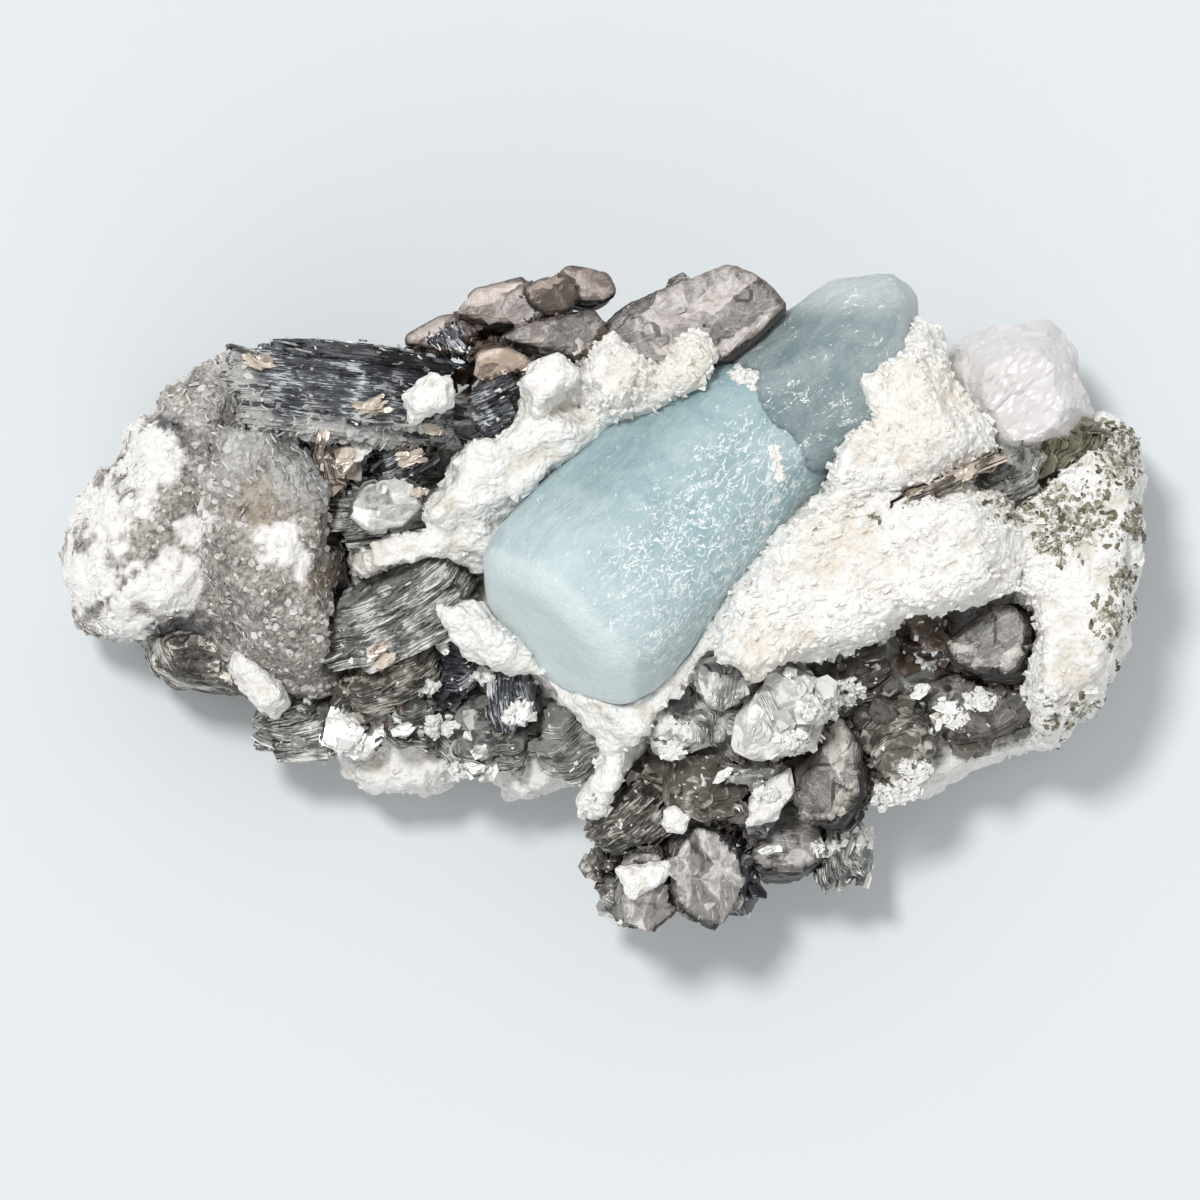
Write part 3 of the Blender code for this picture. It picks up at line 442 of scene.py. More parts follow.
def count_on(mesh, per_mm2):
    """How many pieces lie on a mesh when so many of them lie on each square millimetre."""
    return int(per_mm2 * sum(face.area for face in mesh.polygons) / MM ** 2)


def joined(parts):
    """Several pairs of places and directions as one pair."""
    return [np.concatenate(part) for part in zip(*parts)]


ABOVE = 90.0  # a level over the whole specimen, in millimetres
DOWN = Vector((0, 0, -1))


def dropped(tree, spot, count, stretch, rng):
    """Drops grains on a round place in plan, stretched along X: where each one lands, and the normal."""
    x, y, radius = spot
    landed = []
    for _ in range(count):
        turn, away = rng.uniform(0, math.tau), radius * math.sqrt(rng.random())
        start = Vector((x + stretch * away * math.cos(turn), y + away * math.sin(turn), ABOVE))
        place, normal = tree.ray_cast(start, DOWN)[:2]
        if place is not None:
            landed.append((place, normal))
    return landed


def blades(name, places, tips, rows, sizes, rng):
    """Joined four-sided crystals: each stands along its tip, and is wide along its row. Sizes holds
    the length, width and depth of each."""
    count = len(places)
    wide = side_of(tips, rows)
    thin = np.cross(tips, wide)
    length, width, depth = (sizes[:, i, None] for i in range(3))
    verts = []
    for top in (0, 1):
        for i, j in ((-1, -1), (1, -1), (1, 1), (-1, 1)):
            draw = (0.62 + 0.5 * rng.random((count, 1))) if top else 1.0
            slant = 0.35 * rng.random((count, 1)) * length if top else 0.0
            high = (0.42 * length - slant) if top else -0.6 * length
            verts.append(
                places + tips * high + wide * (i * 0.5 * width * draw)
                + thin * (j * 0.5 * depth * draw)
            )
    points = np.stack(verts, axis=1).reshape(-1, 3)
    box = np.array(((3, 2, 1, 0), (4, 5, 6, 7), (0, 1, 5, 4), (1, 2, 6, 5), (2, 3, 7, 6), (3, 0, 4, 7)))
    faces = (np.arange(count)[:, None, None] * 8 + box).reshape(-1, 4)
    mesh = mesh_of(name, points, [faces])
    stamp(mesh, "tone", np.repeat(rng.random(count), 8))
    return mesh


def plates(name, places, ups, runs, radii, thick, rng, sides=6, narrow=1.0):
    """Joined thin mica flakes, worn and unequal. Each one lies across its up direction, with its
    length along its run, this many sides, and this width for its length."""
    count = len(places)
    along = side_of(ups, runs)
    aside = np.cross(ups, along)
    worn = 0.65 + 0.5 * rng.random((sides, count, 1))
    turn = 0.25 * (rng.random((sides, count, 1)) - 0.5)
    curl = 0.25 * rng.random((count, 1)) * radii[:, None]
    verts = []
    for level in (-0.5, 0.5):
        for k in range(sides):
            angle = math.tau * k / sides + turn[k]
            u, v = np.cos(angle) * worn[k], np.sin(angle) * worn[k]
            rise = level * thick[:, None] - curl * (u * u)
            verts.append(places + (along * u + aside * v * narrow) * radii[:, None] + ups * rise)
    points = np.stack(verts, axis=1).reshape(-1, 3)
    first = np.arange(count)[:, None, None] * 2 * sides
    ring = np.arange(sides)
    after = np.roll(ring, -1)
    caps = (first + np.stack([ring[::-1], ring + sides])).reshape(-1, sides)
    walls = (first + np.stack([ring, after, after + sides, ring + sides], axis=1)).reshape(-1, 4)
    mesh = mesh_of(name, points, [caps, walls])
    own = np.repeat(rng.random(count), 2 * sides)
    stamp(mesh, "tone", own)
    stamp(mesh, "sheet_mm", np.stack([points[:, 0], points[:, 1], 40 * own], axis=1))
    return mesh


def show(name, mesh, materials, nodes=(), smooth=False):
    """Puts a finished mesh on the specimen, in place of the CAD nodes that it stands for."""
    for material in materials:
        mesh.materials.append(material)
    mesh.polygons.foreach_set("use_smooth", [smooth] * len(mesh.polygons))
    mesh.update()
    obj = bpy.data.objects.new(name, mesh)
    bpy.context.scene.collection.objects.link(obj)
    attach(obj, BODY)
    if nodes:
        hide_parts(*nodes)
    return obj


# ---------------------------------------------------------------- mica stacks

FAR = 70.0  # a distance from the middle of any stack that is well outside it, in millimetres
LAP = 0.25  # how far a visible stack reaches past its CAD solid, to close the gap to its neighbours
FEWEST_SHEETS = 6
RIM_FACE = 0.75  # the width of the faces round a rim, in millimetres
NEW_BUNDLE = 0.34  # the chance that a sheet starts a new bundle
INNER = (0.75, 0.5, 0.25, 0.02)  # the rings of points on the two ends, as shares of their rims


def section_reach(tree, axes, middle, levels, angles):
    """How far a solid reaches from the middle line of a stack, at each level and angle."""
    run, side, up = axes
    reach = np.zeros((len(levels), len(angles)))
    for j, angle in enumerate(angles):
        out = Vector(run * math.cos(angle) + side * math.sin(angle))
        for i, level in enumerate(levels):
            start = Vector(middle + up * level) + out * FAR
            away = tree.ray_cast(start, -out, FAR)[3]
            if away is not None:
                reach[i, j] = FAR - away
    return reach


def bundles_back(reach, angles, ragged, rng):
    """How far the rim of each sheet is broken back: in bundles to one side, and a little unevenly."""
    back = np.zeros_like(reach)
    step, middle, spread = 0.0, 0.0, 1.0
    for k in range(len(reach)):
        if rng.random() < NEW_BUNDLE:
            step = ragged * 1.5 * rng.random() ** 1.6
            middle, spread = rng.uniform(0, math.tau), rng.uniform(0.2, 1.0)
        facing = 0.5 + 0.5 * np.cos(angles - middle)
        corners = np.sort(rng.uniform(0, math.tau, rng.integers(12, 26)))
        jag = np.interp(angles, corners, rng.uniform(-1, 1, len(corners)), period=math.tau)
        back[k] = step * (1 - spread + spread * facing) + 0.22 * ragged * (jag + 0.6)
    return back


def break_ends(rims, angles, mean, steps, rng):
    """Breaks the sheets off along straight lines towards both ends, one bundle after another."""
    sheets = len(rims)
    for end in (0, 1):
        for _ in range(3 + int(4 * steps)):
            angle = rng.uniform(0, math.tau)
            first = rng.uniform(0.62, 0.97)
            bundle = rng.integers(1, 4) / sheets
            start = mean * rng.uniform(0.55, 1.0)
            slope = mean * rng.uniform(0.2, 0.9) * (0.3 + steps)
            facing = np.maximum(np.cos(angles - angle), 0.02)
            for k in range(sheets):
                place = (k + 1) / sheets if end else 1 - k / sheets
                if place > first:
                    place = first + (place - first) // bundle * bundle
                    rims[k] = np.minimum(rims[k], (start - slope * (place - first)) / facing)


def drawn_back(sheets, steps):
    """The share by which each sheet draws back, in round steps two sheets high: all of them towards
    the top, and the outermost ones at both ends."""
    place = (np.arange(sheets) + 0.5) / sheets
    drawn = steps * 0.45 * ramp(place, 0.5, 1.25) + 0.35 * ramp(np.abs(place - 0.5), 0.44, 0.52)
    bundles = np.floor(place * sheets / 2) / (sheets / 2)
    return 0.5 * drawn + 0.5 * np.interp(bundles, place, drawn)


def torn(reach, angles, item, rng):
    """The radii of the rim of each sheet of a stack, torn from those of its CAD solid."""
    sheets = len(reach)
    mean = reach[sheets // 3: 1 + 2 * sheets // 3].mean()
    back = bundles_back(reach, angles, item.ragged, rng)
    swell = sum(
        rng.uniform(-0.25, 0.25) * np.cos(m * angles + rng.uniform(0, math.tau)) for m in (3, 5, 8)
    )
    rims = reach + LAP - back + swell * (0.4 + 0.6 * item.ragged)
    break_ends(rims, angles, mean, item.steps, rng)
    return np.maximum(rims * (1 - drawn_back(sheets, item.steps)[:, None]), 0.12)


def sheet_rings(edges, rims):
    """The level and the radii of each ring of points on a book, from its lowest face to its top."""
    rings = [(edges[0] - LAP * 0.5, rims[0] * share) for share in reversed(INNER)]
    for k, rim in enumerate(rims):
        rings += [(edges[k], rim), (edges[k + 1], rim)]
    return rings + [(edges[-1] + LAP * 0.5, rims[-1] * share) for share in INNER]


def ring_faces(rings, spokes):
    """The faces between the rings of a book and over its two ends, and the material of each: 0 for
    split edges and 1 for cleavage faces."""
    rows = np.arange(rings * spokes).reshape(rings, spokes)
    below, above = rows[:-1], rows[1:]
    quads = np.stack(
        [below, np.roll(below, -1, axis=1), np.roll(above, -1, axis=1), above], axis=-1
    )
    kinds = np.ones(rings - 1, int)
    kinds[len(INNER):rings - len(INNER):2] = 0
    kinds = np.concatenate([np.repeat(kinds, spokes), [1, 1]]).astype(np.int32)
    return [quads.reshape(-1, 4), rows[:1, ::-1], rows[-1:]], kinds


def stack_mesh(item, rng):
    """A mica book with each bundle of sheets, its rim torn and its ends stepped."""
    run, side, up = axes = np.array(axes_of(item.along, item.across))
    local = points_of(frame["nodes"][item.node].data) @ axes.T
    low, high = local.min(axis=0), local.max(axis=0)
    middle = (low + high) / 2 @ axes
    height = high[2] - low[2]
    sheets = max(FEWEST_SHEETS, round(height / item.leaf))
    round_trip = math.pi * (high[0] - low[0] + high[1] - low[1]) / 2
    spokes = int(np.clip(round(round_trip / RIM_FACE), 36, 120))
    angles = math.tau * (np.arange(spokes) + 0.5 * rng.random(spokes)) / spokes
    edges = np.linspace(-0.5, 0.5, sheets + 1) * height
    levels = (edges[1:] + edges[:-1]) / 2
    reach = section_reach(cad_tree(item.node), axes, middle, levels, angles)
    rings = sheet_rings(edges, torn(reach, angles, item, rng))
    level = np.repeat([ring[0] for ring in rings], spokes)
    radius = np.concatenate([ring[1] for ring in rings])
    turn = np.tile(angles, len(rings))
    u, v = radius * np.cos(turn), radius * np.sin(turn)
    half = (high - low) / 2 + 1e-6
    a, b = u / half[0], v / half[1]
    bends = rng.uniform(-0.35, 0.35, 3) * (0.4 + item.ragged)
    splay = rng.uniform(-0.10, 0.10) * height
    flat = np.stack([u, v, level], axis=1)
    rise = bends[0] * a * a + bends[1] * b * b + bends[2] * a * b - item.bend * (a * a + b * b) * 0.5
    rise = rise + splay * a * level / height + 0.16 * cloud(flat * (1, 1, 0.5), 3.0, 5)
    points = middle + np.outer(u, run) + np.outer(v, side) + np.outer(level + rise, up)
    points[:, 2] = np.maximum(points[:, 2], 0.0)
    faces, kinds = ring_faces(len(rings), spokes)
    mesh = mesh_of(item.node + "_sheets", points, faces)
    mesh.polygons.foreach_set("material_index", kinds)
    stamp(mesh, "sheet_mm", flat + (rng.uniform(0, 50), rng.uniform(0, 50), rng.uniform(0, 50)))
    stamp(mesh, "tone", np.full(len(points), rng.random()))
    return mesh


def chunk_mesh(item):
    """A glassy crystal of mica with worn edges, its faces broken into low ledges."""
    mesh = fine_skin(item.node, CHUNK_FACE)
    wear(mesh, item.worn)
    axes = np.array(axes_of(item.along, item.across))
    points, normals = points_of(mesh), normals_of(mesh)
    local = points @ axes.T
    face = ramp(np.abs(normals @ axes[2]), 0.5, 0.85)
    ledges = grains(local * (0.17, 0.17, 1), 1.0, 81)[1] - 0.6
    tiles = grains(local * (1, 1, 0.2), 4.2, 84)[1] - 0.5
    rise = item.ledge * (1.2 * ledges * (1 - face) + 0.3 * tiles * face)
    points = points + normals * (LAP + 0.05 + rise + 0.08 * cloud(local, 1.6, 88))[:, None]
    points[:, 2] = np.maximum(points[:, 2], 0.0)
    move_points(mesh, points)
    stamp(mesh, "sheet_mm", local)
    stamp(mesh, "face", face)
    return mesh


# ---------------------------------------------------------------- beryl prisms

FLECK_ZONE = ((6.0, 40.0), (-4.0, 17.0))  # along from the free end, and sideways, in millimetres
SKIN = 0.28  # how far a prism's skin reaches past its CAD solid, to close the gap to the rock


def prism_mesh(item, looks):
    """A beryl prism with worn edges, growth lines along it and shallow etch pits."""
    axis, level, upper = prism_axes(item)
    mesh = fine_skin(item.node, BERYL_FACE)
    wear(mesh, item.worn)
    points, normals = points_of(mesh), normals_of(mesh)
    away = points - np.array(item.free_end)
    local = np.stack([away @ axis, away @ level, away @ upper], axis=1)
    lines = cloud(local * (0.10, 1, 1), 0.9, 31) * 0.07 + cloud(local * (0.12, 1, 1), 2.6, 32) * 0.12
    pits = cloud(local, 1.4, 33) * 0.05 + cloud(local, 4.5, 34) * 0.16
    near, own = grains(local * (0.45, 1, 1), 2.2, 35)
    pits = pits - 0.16 * (1 - ramp(near, 0.0, 0.5)) * (own > 0.45)
    sides = 1 - ramp(np.abs(normals @ axis), 0.3, 0.8)
    points = points + normals * (SKIN + (lines * sides + pits) * looks.relief)[:, None]
    points = points + normals * (0.35 * cloud(points, 9.0, 36))[:, None]
    move_points(mesh, points)
    stamp(mesh, "crystal_mm", local)
    return mesh, local


def fleck_cover(local):
    """Where the white etch flecks lie on the front crystal, from 0 to 1."""
    s, t = -local[:, 0], local[:, 1]
    (s_low, s_high), (t_low, t_high) = FLECK_ZONE
    cover = ramp(s, s_low - 6, s_low + 6) * (1 - ramp(s, s_high - 4, s_high + 4))
    cover = cover * ramp(t, t_low - 4, t_low + 6) * (1 - ramp(t, t_high - 6, t_high + 5))
    patchy = 0.7 + 0.35 * cloud(local, 6.0, 41) + 0.3 * cloud(local, 2.5, 42)
    return np.clip(cover * patchy * 1.35, 0, 1)


# ---------------------------------------------------------------- rock surfaces

# Each relief says how far the skin stands out at each point, in millimetres, and below zero how far it
# lies in.

ROW_RIGHT = np.array((0.76, -0.62, 0.2))  # how the rows of albite blades run on the upper right
ROW_LOBE = np.array((0.97, 0.22, 0.1))  # and on the lobe below it
TIP_RIGHT = np.array((0.35, 0.75, 0.56))
TIP_LOBE = np.array((0.55, -0.45, 0.7))


def bladed(points):
    """How strongly the albite grows in rows of blades here, and along which row direction."""
    x, y = points[:, 0], points[:, 1]
    upper = ramp(x, 26, 34) * ramp(y, 12, 20) * (1 - ramp(x, 56, 64))
    lobe = ramp(x, 8, 20) * (1 - ramp(y, 12, 20)) * ramp(y, -12, -6) * (1 - ramp(x, 60, 66))
    top = (1 - ramp(x, 18, 24)) * ramp(x, -3, 0) * ramp(y, 22, 27)
    share = np.clip(upper + lobe + top, 0, 1)
    rows = ROW_RIGHT * (upper + 0.6 * top)[:, None] + ROW_LOBE * (lobe + 1e-3)[:, None]
    tips = TIP_RIGHT * (upper + top)[:, None] + TIP_LOBE * (lobe + 1e-3)[:, None]
    return share, unit(rows), unit(tips)


def albite_relief(points):
    """Snowy knobs with sugary grains, drawn out into ledges where the albite is bladed."""
    share, rows, tips = bladed(points)
    bent = points + 0.7 * np.stack([cloud(points, 1.9, seed) for seed in (14, 15, 16)], axis=1)
    knobs = 1.5 * (0.55 - grains(bent, 4.8, 11)[0]) + 1.3 * (0.5 - grains(bent, 2.5, 12)[0])
    sugar = 0.5 * (0.5 - grains(points, 1.4, 13)[0]) + 0.3 * cloud(points, 1.2, 17)
    across = np.cross(rows, tips)
    drawn = np.stack([
        np.sum(bent * rows, axis=1) * 0.3,
        np.sum(bent * across, axis=1),
        np.sum(bent * tips, axis=1) * 0.5,
    ], axis=1)
    near, own = grains(drawn, 1.5, 19)
    comb = 0.6 * (0.5 - near) + 0.6 * (own - 0.5)
    return knobs * (1 - 0.5 * share) + sugar + comb * share


MASS_FLOW = np.array((0.55, -0.80, -0.2))  # the fine mica sweeps down and right from the large book
MASS_SIDE = np.array((0.8, 0.55, 0.1))


def combed_near_book(points):
    """How far the fine mica is combed along its flow: near the large book, and not far from it."""
    return ramp(points[:, 1], 8, 18) * ramp(points[:, 0], -62, -52)


def mass_relief(points):
    """Fine mica: small sparkling scales, combed along the flow near the large book."""
    combed = combed_near_book(points)
    drawn = np.stack([points @ MASS_FLOW * 0.22, points @ MASS_SIDE, points[:, 2] * 0.5], axis=1)
    near, own = grains(drawn, 0.95, 23)
    comb = 0.55 * (0.5 - near) + 0.4 * (own - 0.5)
    near, own = grains(points, 1.1, 24)
    scales = 0.38 * (0.55 - near) + 0.34 * (own - 0.5)
    swells = 1.0 * cloud(points, 5.5, 25) + 0.5 * cloud(points, 2.2, 26)
    return swells + comb * combed + scales * (1 - 0.6 * combed)


def pebble_relief(points):
    """Small lumps of albite: soft knobs and fine grains."""
    near, own = grains(points + 0.5 * cloud(points, 1.5, 50)[:, None], 2.1, 51)
    return 0.9 * (0.5 - near) + 0.3 * (own - 0.5) + 0.35 * cloud(points, 1.0, 52)


QUARTZ_RIDGES = np.array(((0.3, 0.7, 0), (0.3, -0.7, 0), (0, 0, 0.6)))  # turned half way, and drawn out


def quartz_relief(points):
    """Broken quartz: flat bright fracture steps, with smaller steps and slanting ridges on them."""
    steps = 0.8 * (grains(points * (1, 0.8, 1), 4.2, 54)[1] - 0.5)
    small = 0.2 * (grains(points, 1.7, 56)[1] - 0.5)
    ridges = 0.25 * (grains(points @ QUARTZ_RIDGES, 1.0, 59)[1] - 0.5)
    return steps + small + 0.3 * cloud(points, 2.0, 55) + ridges


def knob_relief(points):
    """Dark mica scales that wrap the knob."""
    near, own = grains(points * (0.5, 1, 1.4), 1.5, 57)
    return 0.5 * (own - 0.5) + 0.3 * (0.5 - near) + 0.35 * cloud(points, 3.0, 58)


# ---------------------------------------------------------------- colours and nodes


def linear(code):
    """An sRGB hex value as the linear colour that a shader takes."""
    values = [int(code[i:i + 2], 16) / 255 for i in (1, 3, 5)]
    return [v / 12.92 if v <= 0.04045 else ((v + 0.055) / 1.055) ** 2.4 for v in values] + [1.0]


def per_mm(size):
    """The scale of a pattern in object space whose features are size millimetres wide."""
    return 1 / (size * MM)


def add(tree, kind, links=None, **settings):
    """Adds a node. Links gives each socket a value, or the output that feeds it, or a node, whose
    first output does. Settings are the node's own values, and stops those of its colour ramp."""
    node = tree.nodes.new("ShaderNode" + kind)
    for key, value in settings.items():
        if key == "stops":
            stops = node.color_ramp.elements
            while len(stops) < len(value):
                stops.new(1.0)
            for stop, (place, colour) in zip(stops, value):
                stop.position = place
                stop.color = colour
        else:
            setattr(node, key, value)
    for socket, source in (links or {}).items():
        if isinstance(source, bpy.types.Node):
            source = source.outputs[0]
        if isinstance(source, bpy.types.NodeSocket):
            tree.links.new(source, node.inputs[socket])
        else:
            node.inputs[socket].default_value = source
    return node


def blank(name):
    """A material and its tree, with no nodes yet."""
    material = bpy.data.materials.new(name)
    material.use_nodes = True
    material.node_tree.nodes.clear()
    return material, material.node_tree


def grey(value):
    """A grey as a linear colour."""
    return (value, value, value, 1)


# ---------------------------------------------------------------- what the user can change


def colour_of(name, text, code):
    """A setting for a colour, from an sRGB hex value."""
    return bpy.props.FloatVectorProperty(
        name=name, description=text, subtype="COLOR", size=3, min=0, max=1, default=linear(code)[:3]
    )


def length_of(name, text, millimetres):
    """A setting for a length."""
    return bpy.props.FloatProperty(
        name=name, description=text, unit="LENGTH", min=0.0, precision=5, default=millimetres * MM
    )


def amount_of(name, text, value, high):
    """A setting for a strength from nothing to high."""
    return bpy.props.FloatProperty(name=name, description=text, min=0.0, max=high, default=value)


class SPECIMEN_PG_beryl(bpy.types.PropertyGroup):
    """Settings of the two aquamarines"""

    front: colour_of("Front crystal", "Body colour of the front aquamarine", "#ABC9CF")
    rear: colour_of("Rear crystal", "Body colour of the rear aquamarine", "#8A9DA0")
    fleck: colour_of("Etch flecks", "Colour of the white etch flecks", "#F7FAFA")
    relief: amount_of("Relief", "Strength of growth lines and etch pits", 1.0, 4.0)


class SPECIMEN_PG_albite(bpy.types.PropertyGroup):
    """Settings of the white albite"""

    body: colour_of("Albite", "Colour of clean albite", "#FBFAF7")
    # painted shade: the colour painted between the grains and in hollows, where shade falls
    hollow: colour_of("Albite in hollows", "Colour between the grains", "#E3DCD0")
    stain: colour_of("Stain", "Cream iron stain on the albite", "#EBDCC4")
    dust: colour_of("Mica dust", "Olive mica dust in the albite", "#857F6E")
    blade: length_of("Blade length", "Length of an albite blade", 1.7)


class SPECIMEN_PG_mica(bpy.types.PropertyGroup):
    """Settings of the mica"""

    dark: colour_of("Dark sheets", "Darkest mica, between its sheets", "#16181C")
    steel: colour_of("Steel sheets", "Middle tone of the dark mica", "#50545D")
    silver: colour_of("Silver sheets", "Brightest mica edges", "#C6C9CC")
    tan: colour_of("Tan sheets", "Weathered tan cleavage", "#C4B6A6")
    olive: colour_of("Olive sheets", "Olive mica of the right end", "#7B7661")
    fine: colour_of("Fine mica", "The fine grained mass", "#A8A29B")


class SPECIMEN_PG_quartz(bpy.types.PropertyGroup):
    """Settings of the quartz"""

    body: colour_of("Quartz", "Colour of the milky quartz", "#FDFBFA")


class SPECIMEN_PG_stage(bpy.types.PropertyGroup):
    """Settings of the floor, the light and the view"""

    floor: colour_of("Floor", "Colour of the pale floor", "#D8DDE0")
    key: amount_of("Key light", "Strength of the sun-like key light", 1.8, 10.0)
    sky: amount_of("Sky light", "Strength of the soft light from all round", 0.66, 10.0)
    frame_width: length_of("View width", "Width of the view at the specimen", 168.0)


# ---------------------------------------------------------------- materials


def solid(colour):
    """A colour with full cover, from a setting of the user's or a hex value."""
    return linear(colour) if isinstance(colour, str) else (*colour, 1.0)


def albite_material(looks):
    """Cleavelandite albite, grown as sugary grains and blades: chalk white with a low wet gloss on each
    facet, painted shade that makes it greyer cream between the grains and in hollows, and cream where
    iron has stained it."""
    # Sugar grains are 0.3 to 1 mm wide and the flakes of the dust 0.2 to 1 mm. They are drawn 0.8 to
    # 1.1 mm wide, near their largest, so that they show.
    material, tree = blank(ALBITE)
    place = add(tree, "TexCoord").outputs["Object"]
    fine = add(tree, "TexNoise", {
        "Vector": place, "Scale": per_mm(0.8), "Detail": 4.0, "Roughness": 0.7,
    })
    # painted shade: a greyer cream between the sugar grains, and more of it where the skin lies in a
    # hollow
    hollow = add(tree, "ValToRGB", {"Fac": fine}, stops=((0.34, grey(1)), (0.46, grey(0))))
    deep = add(tree, "Attribute", attribute_name="deep").outputs["Fac"]
    low = add(tree, "Math", {0: hollow, 1: 0.5, 2: deep}, operation="MULTIPLY_ADD", use_clamp=True)
    clean = add(tree, "MixRGB", {
        "Fac": low, "Color1": solid(looks.body), "Color2": solid(looks.hollow),
    })
    stain = add(tree, "Attribute", attribute_name="stain").outputs["Fac"]
    stained = add(tree, "MixRGB", {"Fac": stain, "Color1": clean, "Color2": solid(looks.stain)})
    specks = add(tree, "TexNoise", {
        "Vector": place, "Scale": per_mm(1.1), "Detail": 4.0, "Roughness": 0.7,
    })
    dust = add(tree, "Attribute", attribute_name="dust").outputs["Fac"]
    level = add(tree, "Math", {0: dust, 1: 0.27, 2: specks}, operation="MULTIPLY_ADD")
    dusty = add(tree, "ValToRGB", {"Fac": level}, stops=((0.70, grey(0)), (0.79, grey(1))))
    flaky = add(tree, "TexNoise", {
        "Vector": place, "Scale": per_mm(0.8), "Detail": 4.0, "Roughness": 0.8,
    })
    flakes = add(tree, "ValToRGB", {"Fac": flaky}, stops=(
        (0.36, linear("#48422F")), (0.47, solid(looks.dust)), (0.56, linear("#B4AE9B")),
        (0.66, linear("#EFECE5")),
    ))
    mixed = add(tree, "MixRGB", {"Fac": dusty, "Color1": stained, "Color2": flakes})
    sugar = add(tree, "TexVoronoi", {"Vector": place, "Scale": per_mm(0.9)}, feature="F1")
    height = add(tree, "Math", {0: sugar, 1: -0.9, 2: fine}, operation="MULTIPLY_ADD")
    bump = add(tree, "Bump", {"Height": height, "Strength": 1.0, "Distance": 0.42 * MM})
    shader = add(tree, "BsdfPrincipled", {
        "Base Color": mixed, "Roughness": 0.55, "IOR": 1.53, "Normal": bump,
    })
    add(tree, "OutputMaterial", {"Surface": shader})
    return material


def mica_edge_material(name, dark, middle, pale):
    """The split edge of a muscovite book: hair lines of black glass and silver along the sheets,
    with a pearly glint."""
    # Scales are per millimetre here. Real sheets are finer than 0.05 mm, too fine to show, so the lines
    # are bundles about 0.25 mm thick and 2.5 mm long, in broader bands about 4.5 mm wide.
    material, tree = blank(name)
    sheet = add(tree, "Attribute", attribute_name="sheet_mm").outputs["Vector"]
    along = add(tree, "Mapping", {"Vector": sheet, "Scale": (0.4, 0.4, 4.2)})
    lines = add(tree, "TexNoise", {
        "Vector": along, "Scale": 1.0, "Detail": 5.0, "Roughness": 0.72, "Distortion": 0.25,
    })
    broad = add(tree, "TexNoise", {"Vector": sheet, "Scale": 0.22, "Detail": 3.0, "Roughness": 0.6})
    level = add(tree, "Math", {0: broad, 1: 0.7, 2: lines}, operation="MULTIPLY_ADD")
    tones = add(tree, "ValToRGB", {"Fac": level}, stops=(
        (0.74, dark), (0.79, middle), (0.83, dark), (0.87, middle), (0.94, pale),
    ))
    felted = add(tree, "Attribute", attribute_name="felted").outputs["Fac"]
    tones = add(tree, "MixRGB", {"Fac": felted, "Color1": tones, "Color2": linear("#CBC9C4")})
    # painted shade: darker where a book is stamped shaded
    shaded = add(tree, "Attribute", attribute_name="shaded").outputs["Fac"]
    tones = add(tree, "MixRGB", {
        "Fac": shaded, "Color1": tones, "Color2": linear("#77777A"),
    }, blend_type="MULTIPLY")
    gloss = add(tree, "MapRange", {
        "Value": lines, "From Min": 0.35, "From Max": 0.65, "To Min": 0.28, "To Max": 0.5,
    })
    bump = add(tree, "Bump", {"Height": lines, "Strength": 0.7, "Distance": 0.18 * MM})
    shader = add(tree, "BsdfPrincipled", {
        "Base Color": tones, "Roughness": gloss, "IOR": 1.59, "Metallic": 0.25, "Normal": bump,
    })
    add(tree, "OutputMaterial", {"Surface": shader})
    return material


def mica_face_material(name, dark, middle, pale):
    """The cleavage face of mica: glassy and pearly, clouded by sheets that have lifted below it, with
    paler torn steps."""
    # Scales are per millimetre: lifted clouds about 2.4 mm wide, and tears about 3.3 mm apart.
    material, tree = blank(name)
    sheet = add(tree, "Attribute", attribute_name="sheet_mm").outputs["Vector"]
    cloudy = add(tree, "TexNoise", {
        "Vector": sheet, "Scale": 0.42, "Detail": 5.0, "Roughness": 0.62, "Distortion": 0.8,
    })
    tear = add(tree, "TexVoronoi", {"Vector": sheet, "Scale": 0.30}, feature="DISTANCE_TO_EDGE")
    torn_line = add(tree, "ValToRGB", {"Fac": tear}, stops=((0.0, grey(1)), (0.05, grey(0))))
    tone = add(tree, "Attribute", attribute_name="tone").outputs["Fac"]
    level = add(tree, "Math", {0: tone, 1: 0.4, 2: cloudy}, operation="MULTIPLY_ADD")
    tones = add(tree, "ValToRGB", {"Fac": level}, stops=(
        (0.50, dark), (0.64, middle), (0.78, middle), (0.92, pale),
    ))
    faint = add(tree, "Math", {0: torn_line, 1: 0.12}, operation="MULTIPLY")
    mixed = add(tree, "MixRGB", {"Fac": faint, "Color1": tones, "Color2": pale})
    bump = add(tree, "Bump", {"Height": cloudy, "Strength": 0.35, "Distance": 0.3 * MM})
    shader = add(tree, "BsdfPrincipled", {
        "Base Color": mixed, "Roughness": 0.3, "IOR": 1.59, "Metallic": 0.15, "Coat Weight": 0.25,
        "Coat Roughness": 0.12, "Normal": bump,
    })
    add(tree, "OutputMaterial", {"Surface": shader})
    return material


